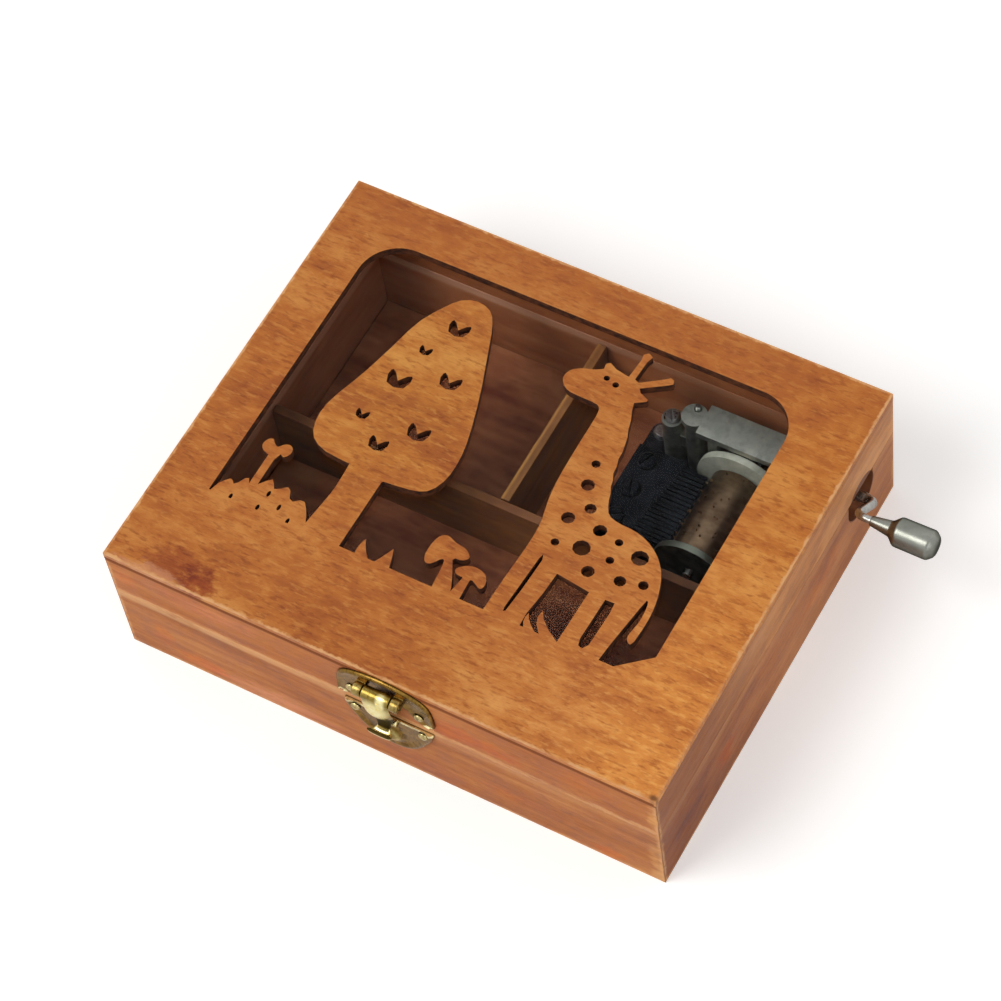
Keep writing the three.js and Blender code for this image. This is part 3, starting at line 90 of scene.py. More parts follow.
# Materials
class Finish:
    """One procedural finish. Patterns are laid out in millimetres of object space."""

    def __init__(self, name, roughness=0.5, metallic=0.0, specular=0.5):
        self.material = bpy.data.materials.new(name)
        self.material.use_nodes = True
        self.tree = self.material.node_tree
        self.tree.nodes.clear()
        self.shader = self.node("BsdfPrincipled", {
            "Roughness": roughness, "Metallic": metallic, "Specular IOR Level": specular,
        })
        self.output = self.node("OutputMaterial", {"Surface": self.shader.outputs[0]})
        coordinates = self.node("TexCoord", {})
        self.object_place = coordinates.outputs["Object"]
        self.facing = coordinates.outputs["Normal"]
        self.x, self.y, self.z = self.axes(self.stretched(1))

    def node(self, kind, values, **settings):
        """A new node with its settings and its values, each a number, colour or link."""
        node = self.tree.nodes.new(f"ShaderNode{kind}")
        for name, setting in settings.items():
            setattr(node, name, setting)
        for socket, value in values.items():
            self.feed(node.inputs[socket], value)
        return node

    def feed(self, socket, value):
        """Links a socket to another, or sets its value."""
        if isinstance(value, bpy.types.NodeSocket):
            self.tree.links.new(value, socket)
        else:
            socket.default_value = value

    def axes(self, vector):
        """The x, y and z parts of a vector."""
        return self.node("SeparateXYZ", {0: vector}).outputs

    def stretched(self, size, shift=(0, 0, 0), turned=(0, 0, 0)):
        """Object space with one unit every size millimetres, all round or along x, y, z."""
        scale = [1000 / part for part in np.broadcast_to(size, 3).tolist()]
        return self.node("Mapping", {
            "Vector": self.object_place, "Scale": scale, "Location": shift, "Rotation": turned,
        }).outputs[0]

    def noise(self, size, shift=(0, 0, 0), detail=3.0, roughness=0.55, distortion=0.0,
              turned=(0, 0, 0)):
        """Noise whose features are about size millimetres, all round or along x, y, z."""
        return self.node("TexNoise", {
            "Vector": self.stretched(size, shift, turned), "Scale": 1, "Detail": detail,
            "Roughness": roughness, "Distortion": distortion,
        }).outputs["Fac"]

    def grain(self, direction, length, across, *settings):
        """Noise drawn out along x, y or z, as a board's grain is."""
        size = [across, across, across]
        size["xyz".index(direction)] = length
        return self.noise(size, *settings)

    def maths(self, operation, *values):
        """One step of arithmetic."""
        return self.node("Math", dict(enumerate(values)), operation=operation).outputs[0]

    def chain(self, operation, first, *others):
        """Values joined two at a time by one kind of arithmetic."""
        for value in others:
            first = self.maths(operation, first, value)
        return first

    def product(self, *values):
        """Values multiplied together."""
        return self.chain("MULTIPLY", *values)

    def total(self, *values):
        """Values added together."""
        return self.chain("ADD", *values)

    def least(self, *values):
        """The least of several values."""
        return self.chain("MINIMUM", *values)

    def most(self, *values):
        """The greatest of several values."""
        return self.chain("MAXIMUM", *values)

    def swing(self, pattern, amount):
        """A pattern of 0 to 1 as a swing of amount about 0."""
        return self.maths("MULTIPLY_ADD", pattern, amount, -amount / 2)

    def away(self, value, middle=0.0):
        """How far a value lies from a middle, on either side."""
        return self.maths("ABSOLUTE", self.maths("SUBTRACT", value, middle))

    def band(self, value, start, end, low=0.0, high=1.0):
        """Smooth step from low at start to high at end; end may be less than start."""
        return self.node("MapRange", {
            "Value": value, "From Min": start, "From Max": end, "To Min": low, "To Max": high,
        }, interpolation_type="SMOOTHSTEP").outputs["Result"]

    def ramp(self, factor, *stops):
        """Colour ramp; each stop is (place, colour)."""
        node = self.node("ValToRGB", {"Fac": factor})
        elements = node.color_ramp.elements
        while len(elements) < len(stops):
            elements.new(0.5)
        for element, (place, colour) in zip(elements, stops):
            element.position = place
            element.color = colour
        return node.outputs["Color"]

    def mix(self, amount, colour, other, blend="MIX"):
        """A colour with an amount of another over it."""
        values = {0: amount, 6: colour, 7: other}
        return self.node("Mix", values, data_type="RGBA", blend_type=blend).outputs[2]

    def tinted(self, amount, colour, tint):
        """A colour multiplied by an amount of a tint."""
        return self.mix(amount, colour, tint, "MULTIPLY")

    def spot(self, centre, reach, ragged, amount):
        """1 at a centre, falling to 0 at about reach millimetres along x, y and z.

        A ragged pattern moves the rim in and out by an amount, as a share of the reach.
        """
        shift = [-middle / part for middle, part in zip(centre, reach)]
        place = self.stretched(reach, shift)
        distance = self.node("VectorMath", {0: place}, operation="LENGTH").outputs["Value"]
        return self.band(self.total(distance, self.swing(ragged, 2 * amount)), 1.0, 0.35)

    def edge_distance(self, low, high):
        """Millimetres from the nearest edge of a box: the least sum of two face gaps."""
        gaps = []
        for value, start, end in zip((self.x, self.y, self.z), low, high):
            offset = self.away(value, (start + end) / 2)
            gaps.append(self.maths("SUBTRACT", (end - start) / 2, offset))
        return self.least(*(self.total(*pair) for pair in itertools.combinations(gaps, 2)))

    def bump(self, height, distance):
        """Bump whose height pattern spans a distance in millimetres, felt at half strength."""
        values = {"Height": height, "Distance": distance * MM, "Strength": 0.5}
        return self.node("Bump", values).outputs[0]

    def paint(self, colour, roughness, normal):
        """The finished material, its shader fed with a colour, a roughness and a bump."""
        self.feed(self.shader.inputs["Base Color"], colour)
        self.feed(self.shader.inputs["Roughness"], roughness)
        self.feed(self.shader.inputs["Normal"], normal)
        return self.material


# Wood colours: dark, middle and light tones, as screen colours
PANEL_TONES = ((160, 84, 30), (184, 107, 42), (206, 136, 66))
FRONT_TONES = ((156, 82, 33), (181, 104, 44), (202, 128, 64))
BASE_TONES = ((148, 80, 35), (179, 106, 50), (202, 135, 75))
SIDE_TONES = ((150, 86, 50), (182, 112, 66), (206, 140, 92))
RAIL_TONES = ((172, 106, 58), (206, 137, 79), (228, 164, 108))
BACK_TONES = ((148, 82, 38), (180, 106, 52), (200, 130, 72))
FLOOR_TONES = ((100, 48, 26), (134, 78, 47), (158, 103, 68))
DIVIDER_TONES = ((78, 42, 20), (110, 66, 34), (140, 92, 50))
EDGE_TAN = linear(224, 166, 110)
JOINT_BROWN = linear(124, 64, 30)
SOOT_BROWN = linear(46, 22, 12)
SCORCH_BROWN = linear(104, 56, 28)
NICK_BROWN = linear(84, 46, 24)
BACK_RED = linear(168, 90, 42)
RUBBED_PINK = linear(206, 142, 104)
DIVIDER_TAN = linear(184, 132, 62)
NOTCH_DARK = linear(40, 20, 12)
NOTCH_LIGHT = linear(116, 66, 40)
WOOD_SHEEN = 0.3

# Tints that a patch of wood is multiplied by
ORANGE = (1.26, 0.94, 0.55, 1)
RUST = (1.1, 0.76, 0.55, 1)
PINK = (1.12, 1.06, 1.7, 1)
PALE = (1.4, 1.9, 2.5, 1)
MAUVE = (0.7, 0.68, 1.2, 1)
YELLOW = (1.36, 1.6, 2.1, 1)
HONEY = (1.1, 1.12, 1.0, 1)
TREE_TAN = (1.1, 1.24, 1.16, 1)
STAIN = (0.58, 0.33, 0.25, 1)
# Painted shade on the right side, growing towards the front
PAINTED_SIDE_SHADE = (0.36, 0.22, 0.2, 1)
# Painted shade on the box's inner faces
PAINTED_INSIDE_SHADE = (0.68, 0.72, 1.1, 1)
DARK_FLECK = (0.62, 0.47, 0.36, 1)
PORE = (0.7, 0.58, 0.5, 1)

# Patches of tint on the boards, each (centre, reach, tint, amount)
BASE_FRONT_PATCHES = (
    ((30, -51, 8), (12, 6, 4), ORANGE, 0.3),
    ((-53, -51, 9), (3.5, 6, 6), ORANGE, 0.5),
    ((-45, -51, 4), (7, 6, 4), ORANGE, 0.75),
    ((-26, -51, 3), (18, 6, 4), PINK, 0.8),
    ((50, -51, 2.4), (5, 6, 2.6), ORANGE, 0.75),
    ((61.8, -51, 8), (2.8, 6, 14), PALE, 0.7),
    ((8, -51, 4), (14, 6, 4), PINK, 0.5),
)
LID_FRONT_PATCHES = (
    ((46, -51, 28), (8, 6, 4), ORANGE, 0.25),
    ((-59, -51, 28), (3.5, 6, 4), ORANGE, 0.45),
    ((20, -51, 25), (14, 6, 4), RUST, 0.8),
    ((-40, -51, 29), (16, 6, 4), PINK, 0.7),
    ((62, -51, 27), (2.2, 6, 9), PALE, 0.7),
)
BASE_RIGHT_PATCHES = (
    ((62, 18, 12), (6, 12, 5), ORANGE, 0.3),
    ((62, -24, 9), (6, 5, 5), RUST, 0.9),
    ((62, -40, 9), (6, 9, 6), MAUVE, 0.7),
)

# Marks on the top board, each (centre, reach)
TREE_PATCH = ((-29, 8, 34), (27, 36, 30))
WIDE_STAIN = ((-47.5, -46.6, 35), (9, 4.4, 9))
DEEP_STAIN = ((-41.8, -48.8, 35), (5.5, 4.6, 9))
RUBBED_EDGE = ((-53.5, -50.6, 35), (10, 1.9, 9))
CORNER_NICK = ((61.9, -50.4, 34.6), (1.5, 1.1, 2.4))


def wood_colour(finish, direction, shift, tones, streak, fleck, blotch):
    """Stained wood: broad tone, long streaks, clouds, pale and dark flecks, fine pores.

    streak, fleck and blotch are the strengths of the streaks, flecks and clouds.
    Returns the colour, a height for the bump and the clouds, which the gloss follows.
    """
    dark, middle, light = [linear(*tone) for tone in tones]
    moved = (shift, shift * 0.37, shift * 0.71)
    broad = finish.grain(direction, 42, 15, moved, 3, 0.5, 0.6)
    long_streak = finish.grain(direction, 38, 2.1, moved, 3, 0.5, 0.25)
    cloud = finish.grain(direction, 7, 4.5, moved, 4, 0.65, 0.3)
    swings = ((long_streak, streak), (broad, 0.7), (cloud, blotch))
    tone = finish.total(0.5, *(finish.swing(*swing) for swing in swings))
    colour = finish.ramp(tone, (0.3, dark), (0.5, middle), (0.72, light))

    pale = finish.grain(direction, 3.4, 1.0, (shift + 5, 2, 8), 3, 0.6, 0.2)
    colour = finish.mix(finish.band(pale, 0.5, 0.68, high=0.7 * fleck), colour, light)
    dash = finish.grain(direction, 2.7, 0.75, moved, 3, 0.6, 0.2)
    patch = finish.grain(direction, 11, 7, (shift + 3, 1, 2), 2, 0.5)
    flecks = finish.band(dash, 0.5, 0.68, high=fleck)
    colour = finish.tinted(finish.product(flecks, finish.band(patch, 0.3, 0.55, 0.25)),
                           colour, DARK_FLECK)
    pore = finish.grain(direction, 1.6, 0.22, moved, 2, 0.6)
    colour = finish.tinted(finish.band(pore, 0.52, 0.78, high=0.5), colour, PORE)

    heights = ((pore, -0.6), (dash, -0.3), (long_streak, 0.5))
    height = finish.total(*(finish.product(*part) for part in heights))
    return colour, height, cloud


def wood_gloss(finish, height, cloud, low, high, depth=0.14):
    """Roughness from low to high, and the bump of varnished wood."""
    return finish.band(cloud, 0.3, 0.75, low, high), finish.bump(height, depth)


def worn_edges(finish, colour, box, ragged, reach, amount):
    """Paler wood where the box's edges are rubbed, up to reach millimetres from them."""
    chipped = finish.noise(1.5, (3, 8, 1), 3, 0.6)
    distance = finish.total(finish.edge_distance(*box), finish.swing(chipped, 1.4))
    rubbed = finish.band(distance, reach, 0.3 * reach)
    patchy = finish.band(ragged, 0.36, 0.56, 0.25)
    return finish.mix(finish.product(rubbed, patchy, amount), colour, EDGE_TAN)


def panel_face(finish, colour, ragged):
    """The top board's uneven stain, its corner marks and its rubbed edges."""
    yellow = finish.product(finish.band(finish.x, 0, 55), finish.band(finish.y, 20, -45))
    colour = finish.tinted(yellow, colour, YELLOW)
    colour = finish.tinted(finish.band(finish.x, 36, 56), colour, HONEY)
    tree = finish.spot(*TREE_PATCH, ragged, 0.5)
    colour = finish.tinted(finish.product(tree, 0.8), colour, TREE_TAN)
    wavy_y = finish.maths("MULTIPLY_ADD", ragged, 12, finish.y)
    colour = finish.mix(finish.band(wavy_y, 34, 56, high=0.3), colour, BACK_RED)

    mottled = finish.noise((3.2, 2.2, 3), (4, 4, 4), 4, 0.65)
    broken = finish.total(finish.product(mottled, 0.6), finish.product(ragged, 0.4))
    for stain, amount in ((WIDE_STAIN, 0.75), (DEEP_STAIN, 1.0)):
        wet = finish.product(finish.spot(*stain, broken, 1.7), amount)
        colour = finish.tinted(wet, colour, STAIN)
    rubbed = finish.spot(*RUBBED_EDGE, broken, 2.6)
    colour = finish.mix(finish.product(rubbed, 0.55), colour, RUBBED_PINK)

    near_corner = finish.product(finish.band(finish.x, 58, 61), finish.band(finish.y, -12, -26))
    wear = finish.band(near_corner, 0, 1, 1.0, 0.25)
    colour = worn_edges(finish, colour, LID_BOX, ragged, 0.66, wear)
    nick = finish.spot(*CORNER_NICK, ragged, 0.5)
    return finish.mix(finish.product(nick, 0.8), colour, NICK_BROWN)


def panel_sides(finish, colour):
    """The scorched sides of the cut-outs, and the glue line under the board's outer rim.

    Returns the colour, the scorched part and the glued part.
    """
    upright = finish.band(finish.away(finish.axes(finish.facing)[2]), 0.75, 0.45)
    inner_x = finish.band(finish.away(finish.x), 61.4, 60.9)
    inner_y = finish.band(finish.away(finish.y), 49.9, 49.4)
    scorched = finish.product(upright, inner_x, inner_y)
    soot = finish.noise((1.6, 1.6, 0.9))
    burnt = finish.ramp(soot, (0.35, SOOT_BROWN), (0.7, SCORCH_BROWN))
    colour = finish.mix(scorched, colour, burnt)
    glue = finish.product(finish.band(finish.z, PANEL_FOOT + 0.8, PANEL_FOOT + 0.45), upright,
                          finish.band(scorched, 0.6, 0.2), finish.band(finish.x, 61.9, 62.2, 1.0, 0.2))
    return finish.mix(finish.product(glue, 0.9), colour, JOINT_BROWN), scorched, glue


def panel_wood():
    """Fretted top board: flecked orange brown veneer, scorched on its sawn inner sides."""
    finish = Finish("fretted_panel_wood", specular=WOOD_SHEEN)
    colour, height, cloud = wood_colour(finish, "x", 3.0, PANEL_TONES, 0.3, 0.75, 0.75)
    ragged = finish.noise((6, 4, 4), (7, 2, 5), 3, 0.6)
    colour = panel_face(finish, colour, ragged)
    colour, scorched, glue = panel_sides(finish, colour)
    roughness, normal = wood_gloss(finish, height, cloud, 0.42, 0.6)
    return finish.paint(colour, finish.most(roughness, scorched, glue), normal)


def notch_with_painted_shade(finish, colour):
    """The raw wood inside the round notch that the crank's shaft passes through, darkened by painted
    shade that deepens further in.
    """
    across = finish.away(finish.y, SHAFT[1])
    above = finish.away(finish.z, SHAFT[2])
    from_shaft = finish.total(finish.product(across, across), finish.product(above, above))
    notch = finish.product(finish.band(from_shaft, 34.0, 31.5), finish.band(finish.x, 40, 50))
    outwards = finish.band(finish.x, 57, 61.5)
    # Painted shade: darkest deep in the notch, lighter towards the outer face
    sawn = finish.ramp(outwards, (0.0, NOTCH_DARK), (1.0, NOTCH_LIGHT))
    return finish.mix(finish.product(notch, 0.92), colour, sawn)


def side_wood(name, direction, shift, tones, box, patches, dim, glue):
    """A wall or rail: streaked along its length, worn at the box's edges, with painted shade inside.

    dim is None or (start, end, tint, amount), a painted shade that grows from start to end
    along y. glue is the strength of the glue line under the top board; a wall has
    none there, and a pale band of painted highlight under the lid's seam instead.
    """
    finish = Finish(name, specular=WOOD_SHEEN)
    streak = 0.48 if direction == "x" else 0.32
    colour, height, cloud = wood_colour(finish, direction, shift, tones, streak, 0.3, 0.45)
    ragged = finish.grain(direction, 9, 3, (shift, 2, 5), 3, 0.6, 0.4)
    for centre, reach, tint, amount in patches:
        spot = finish.spot(centre, reach, ragged, 1.0)
        colour = finish.tinted(finish.product(spot, amount), colour, tint)
    # Painted shade that grows along y
    if dim is not None:
        start, end, tint, amount = dim
        wavy_y = finish.maths("MULTIPLY_ADD", ragged, 10, finish.y)
        colour = finish.tinted(finish.band(wavy_y, start, end, high=amount), colour, tint)
    colour = worn_edges(finish, colour, box, ragged, 1.2, 0.7)

    if glue is None:
        line = 0.0
        # Painted highlight: a pale band along the wall's top edge just under the lid's seam, stronger
        # towards the left
        seam = finish.product(finish.band(finish.z, SEAM - 3.0, SEAM - 1.6),
                              finish.band(finish.x, 24, -26, 0.2, 0.68),
                              finish.band(ragged, 0.2, 0.5, 0.5))
        colour = finish.mix(seam, colour, EDGE_TAN)
    else:
        line = finish.band(finish.z, PANEL_FOOT - 0.9, PANEL_FOOT - 0.45, high=glue)
        colour = finish.mix(line, colour, JOINT_BROWN)

    gap_x = finish.maths("SUBTRACT", HALF_WIDTH, finish.away(finish.x))
    gap_y = finish.maths("SUBTRACT", HALF_DEPTH, finish.away(finish.y))
    # Painted shade on the box's inner faces, within a wall's thickness of the outside: darker and
    # bluer
    inner = finish.band(finish.least(gap_x, gap_y), WALL - 0.8, WALL - 0.2)
    colour = notch_with_painted_shade(finish, finish.tinted(inner, colour, PAINTED_INSIDE_SHADE))
    mitre = finish.product(finish.band(finish.away(gap_y, gap_x), 0.3, 0.12),
                           finish.band(ragged, 0.35, 0.6, 0.1, 0.7))
    colour = finish.mix(mitre, colour, JOINT_BROWN)
    roughness, normal = wood_gloss(finish, height, cloud, 0.44, 0.64)
    return finish.paint(colour, finish.most(roughness, line), normal)


def inner_wood(node, direction, shift, tones, pale_top_edges):
    """Dark stained wood of the floor and the dividers; one divider is paler along both edges of its
    top.
    """
    finish = Finish(f"{node}_wood", specular=WOOD_SHEEN)
    colour, height, cloud = wood_colour(finish, direction, shift, tones, 0.3, 0.25, 0.6)
    if pale_top_edges:
        low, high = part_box(node)
        left, right, top = low.x / MM, high.x / MM, high.z / MM
        near_edge = finish.band(finish.x, left + 0.85, left + 0.45, 0.15)
        far_edge = finish.band(finish.x, right - 0.8, right - 0.4, high=0.3)
        worn = finish.grain(direction, 7, 1.5, (shift, 0, 0), 2)
        # Paler along both edges of the top, less so towards the back
        rubbed = finish.product(finish.band(finish.z, top - 0.5, top - 0.05),
                                finish.most(near_edge, far_edge),
                                finish.band(finish.y, 18, 36, 1.0, 0.35),
                                finish.band(worn, 0.3, 0.6, 0.4, 0.85))
        colour = finish.mix(rubbed, colour, DIVIDER_TAN)
    roughness, normal = wood_gloss(finish, height, cloud, 0.5, 0.7, 0.05)
    return finish.paint(colour, roughness, normal)


def metal(name, dark, light, roughness, size, brushed=0.5, grime=None, scratch=0.03,
          rim=1.0, metallic=1.0, edges=None):
    """Metal: mottled between two colours, with fine scratches.

    roughness is (least, most); size is the mottling's and brushed the brushing's;
    grime is (colour, amount, size); scratch is the depth of the scratches; rim under 1
    dulls the metal where it is seen edge on; edges is a painted highlight colour on a
    casting's edge faces, those that turn away from y.
    """
    finish = Finish(name, metallic=metallic)
    finish.shader.inputs["Specular Tint"].default_value = (rim, rim, rim, 1)
    mottle = finish.noise(size, (1, 4, 2), 4, 0.6, 0.4)
    colour = finish.ramp(mottle, (0.33, linear(*dark)), (0.68, linear(*light)))
    fine = finish.noise(brushed, (3, 1, 2), 3, 0.6)
    if grime is not None:
        tint, amount, grime_size = grime
        dirt = finish.noise(grime_size, (9, 9, 1), 4, 0.65)
        colour = finish.mix(finish.band(dirt, 0.48, 0.68, high=amount), colour, linear(*tint))
    if edges is not None:
        # Painted highlight: edge faces that turn away from y take a paler colour
        lit_rim = finish.band(finish.away(finish.axes(finish.facing)[1]), 0.8, 0.5)
        colour = finish.mix(lit_rim, colour, linear(*edges))
    sheen = finish.band(mottle, 0.3, 0.7, roughness[1], roughness[0])
    gloss = finish.total(sheen, finish.swing(fine, 0.12))
    return finish.paint(colour, gloss, finish.bump(fine, scratch))


def pane_material():
    """Clear sheet: faintly grey, with light wiping marks. Lamps shine through it."""
    finish = Finish("clear_pane")
    smear = finish.noise((26, 7, 9), (2, 5, 1), 3, 0.6, 0.6, (0, 0, 0.5))
    shader = finish.shader
    finish.feed(shader.inputs["Transmission Weight"], 1.0)
    finish.feed(shader.inputs["IOR"], 1.1)
    tint = finish.ramp(smear, (0.3, (0.86, 0.86, 0.87, 1)), (0.7, (0.92, 0.92, 0.92, 1)))
    finish.feed(shader.inputs["Base Color"], tint)
    finish.feed(shader.inputs["Roughness"], finish.band(smear, 0.64, 0.8, high=0.03))
    clear = finish.node("BsdfTransparent", {"Color": (0.86, 0.86, 0.87, 1)})
    shadow_ray = finish.node("LightPath", {}).outputs["Is Shadow Ray"]
    blend = finish.node("MixShader", {0: shadow_ray, 1: shader.outputs[0], 2: clear.outputs[0]})
    finish.feed(finish.output.inputs["Surface"], blend.outputs[0])
    return finish.material


# Meshes
def new_piece(name, points, faces, material, smooth=True, sharp=35):
    """A mesh object from millimetre points; doubles merged, normals outward."""
    mesh = bpy.data.meshes.new(name)
    mesh.from_pydata((np.asarray(points) * MM).tolist(), [], faces)
    work = bmesh.new()
    work.from_mesh(mesh)
    bmesh.ops.remove_doubles(work, verts=work.verts, dist=WELD)
    bmesh.ops.recalc_face_normals(work, faces=work.faces)
    work.to_mesh(mesh)
    work.free()
    mesh.materials.append(material)
    piece = bpy.data.objects.new(name, mesh)
    bpy.context.scene.collection.objects.link(piece)
    if smooth:
        mesh.shade_smooth()
        mesh.set_sharp_from_angle(angle=math.radians(sharp))
    return piece


def grid_faces(rows, columns, ring=False):
    """Quads joining a grid of points whose rows are loops; a ring joins its end rows."""
    row = np.arange(rows if ring else rows - 1)[:, None]
    column = np.arange(columns)[None, :]
    next_row, next_column = (row + 1) % rows, (column + 1) % columns
    quads = np.stack([
        row * columns + column, row * columns + next_column,
        next_row * columns + next_column, next_row * columns + column,
    ], axis=-1)
    return quads.reshape(-1, 4).tolist()


def closed_strip(points):
    """A grid of points whose rows are loops, as a skin with a face over each end."""
    rows, columns = points.shape[:2]
    faces = grid_faces(rows, columns)
    faces.append(list(range(columns)))
    faces.append(list(range((rows - 1) * columns, rows * columns)))
    return points.reshape(-1, 3), faces


def skin(profile, axis, centre, sides=48, ring=False):
    """A profile of (along, radius) turned about an axis; a ring's profile is closed.

    Point = centre + along * axis + radius * (cos t * u + sin t * v).
    """
    profile = np.asarray(profile, float)
    axis = np.asarray(axis, float)
    u = np.cross(axis, ALONG_Z if axis[2] == 0 else ALONG_X)
    v = np.cross(axis, u)
    t = np.linspace(0, TURN, sides, endpoint=False)[:, None]
    circle = np.cos(t) * u + np.sin(t) * v
    along, radius = profile[:, 0, None, None], profile[:, 1, None, None]
    points = along * axis + radius * circle + np.asarray(centre, float)
    return points.reshape(-1, 3), grid_faces(len(profile), sides, ring)


def merged(name, parts, material, sharp):
    """Several skins, each (points, faces), as one piece."""
    points, faces, start = [], [], 0
    for part_points, part_faces in parts:
        points.append(np.asarray(part_points, float))
        faces.extend([tuple(index + start for index in face) for face in part_faces])
        start += len(part_points)
    return new_piece(name, np.vstack(points), faces, material, sharp=sharp)


def bent(start, corner, end, count):
    """A quadratic curve from start to end, drawn towards a corner."""
    start, corner, end = (np.asarray(point, float) for point in (start, corner, end))
    t = np.linspace(0, 1, count)[:, None]
    return (1 - t) ** 2 * start + 2 * t * (1 - t) * corner + t ** 2 * end


def rounded(profile, radius, steps=4):
    """Rounds each inner corner of a profile with a short quadratic curve."""
    profile = np.asarray(profile, float)
    result = [profile[:1]]
    for before, corner, after in zip(profile[:-2], profile[1:-1], profile[2:]):
        back, forth = before - corner, after - corner
        back_length, forth_length = np.linalg.norm(back), np.linalg.norm(forth)
        reach = min(radius, back_length / 2.2, forth_length / 2.2)
        start = corner + back / back_length * reach
        end = corner + forth / forth_length * reach
        result.append(bent(start, corner, end, steps))
    return np.vstack([*result, profile[-1:]])


PIN_EASE = 0.25
TUBE_EASE = 0.3


def bar(start, end, radius, ease, steps=5):
    """Profile of a plain round bar with eased ends."""
    return rounded([(start, 0), (start, radius), (end, radius), (end, 0)], ease, steps)


def tube(start, end, bore, outside, ease):
    """Profile of a plain tube with its outer edges eased, for a skin that is a ring."""
    return rounded([(start, bore), (start, outside), (end, outside), (end, bore)], ease)


def smooth_line(points, count):
    """A smooth line through points: each span is a cubic whose slopes join its neighbours."""
    points = np.asarray(points, float)
    padded = np.vstack([2 * points[0] - points[1], points, 2 * points[-1] - points[-2]])
    place = np.linspace(0, len(points) - 1, count)
    span = np.minimum(place.astype(int), len(points) - 2)
    t = (place - span)[:, None]
    a, b, c, d = (padded[span + offset] for offset in range(4))
    return 0.5 * (2 * b + (c - a) * t + (2 * a - 5 * b + 4 * c - d) * t ** 2
                  + (3 * b - a - 3 * c + d) * t ** 3)


def mesh_points(mesh):
    """A mesh's points in millimetres."""
    points = np.empty(len(mesh.vertices) * 3)
    mesh.vertices.foreach_get("co", points)
    return points.reshape(-1, 3) / MM


def move_points(mesh, points):
    """Puts a mesh's points at new places, in millimetres."""
    mesh.vertices.foreach_set("co", (points * MM).ravel())
    mesh.update()


def mitre_ends(mesh, direction):
    """Draws the ends of a board that runs along x or y out to the corner's diagonal.

    A point within 0.3 mm of the diagonal takes half the box's length less its own
    gap from the outer face, so that no light shows through the joint.
    """
    points = mesh_points(mesh)
    gap = np.array([HALF_WIDTH, HALF_DEPTH]) - np.abs(points[:, :2])
    along = "xy".index(direction)
    reached = np.abs(gap[:, 0] - gap[:, 1]) < 0.3
    length = (HALF_WIDTH, HALF_DEPTH)[along] - gap[:, 1 - along]
    points[:, along] = np.where(reached, np.sign(points[:, along]) * length, points[:, along])
    move_points(mesh, points)


def board_copy(node_name, material, bevel, mitred=None):
    """A merged copy of a CAD node with its flat faces joined and its edges eased."""
    mesh = nodes[node_name].data.copy()
    work = bmesh.new()
    work.from_mesh(mesh)
    bmesh.ops.remove_doubles(work, verts=work.verts, dist=WELD)
    flat = math.radians(1.5)
    bmesh.ops.dissolve_limit(work, angle_limit=flat, verts=work.verts, edges=work.edges)
    work.to_mesh(mesh)
    work.free()
    if mitred is not None:
        mitre_ends(mesh, mitred)
    mesh.materials.clear()
    mesh.materials.append(material)
    mesh.shade_smooth()
    mesh.set_sharp_from_angle(angle=math.radians(28))
    piece = bpy.data.objects.new(f"{node_name}_finished", mesh)
    bpy.context.scene.collection.objects.link(piece)
    if bevel:
        ease = piece.modifiers.new("eased edges", "BEVEL")
        ease.width = bevel * MM
        ease.segments = 2
        ease.limit_method = "ANGLE"
        ease.angle_limit = math.radians(30)
        ease.harden_normals = True
    return piece


def place_piece(piece, body, replaced):
    """Rides a piece on its body and hides the node that it stands for."""
    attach(piece, body)
    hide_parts(replaced)


# Camera and light
def standing(place, right, up, forward):
    """Where a camera or lamp stands, from its place and the ways that it faces."""
    rows = [(right[row], up[row], -forward[row], place[row]) for row in range(3)]
    return Matrix([*rows, (0, 0, 0, 1)])


def photograph_camera():
    """The photograph's view of the box, fitted to its corners."""
    data = bpy.data.cameras.new("photograph")
    data.sensor_width = 36
    data.lens = 129.37
    data.clip_start = 0.01
    camera = bpy.data.objects.new("photograph", data)
    right = (0.86922278, 0.48528353, -0.09461318)
    up = (-0.37106981, 0.76677045, 0.52380366)
    forward = (-0.32673988, 0.42019398, -0.84656841)
    camera.matrix_world = standing((0.23745, -0.30628, 0.64115), right, up, forward)
    bpy.context.scene.collection.objects.link(camera)
    bpy.context.scene.camera = camera


def studio_world(strength):
    """Even white light; white itself where the camera, metal or glass sees it."""
    world = bpy.data.worlds.new("studio")
    bpy.context.scene.world = world
    world.use_nodes = True
    tree = world.node_tree
    tree.nodes.clear()
    output = tree.nodes.new("ShaderNodeOutputWorld")
    seen = tree.nodes.new("ShaderNodeBackground")
    lit = tree.nodes.new("ShaderNodeBackground")
    seen.inputs["Color"].default_value = (1, 1, 1, 1)
    lit.inputs["Color"].default_value = (1, 0.99, 0.975, 1)
    lit.inputs["Strength"].default_value = strength
    rays = tree.nodes.new("ShaderNodeLightPath")
    seen_ray = rays.outputs["Is Camera Ray"]
    for label in ("Is Glossy Ray", "Is Transmission Ray"):
        either = tree.nodes.new("ShaderNodeMath")
        either.operation = "MAXIMUM"
        tree.links.new(seen_ray, either.inputs[0])
        tree.links.new(rays.outputs[label], either.inputs[1])
        seen_ray = either.outputs[0]
    blend = tree.nodes.new("ShaderNodeMixShader")
    tree.links.new(seen_ray, blend.inputs[0])
    tree.links.new(lit.outputs[0], blend.inputs[1])
    tree.links.new(seen.outputs[0], blend.inputs[2])
    tree.links.new(blend.outputs[0], output.inputs[0])


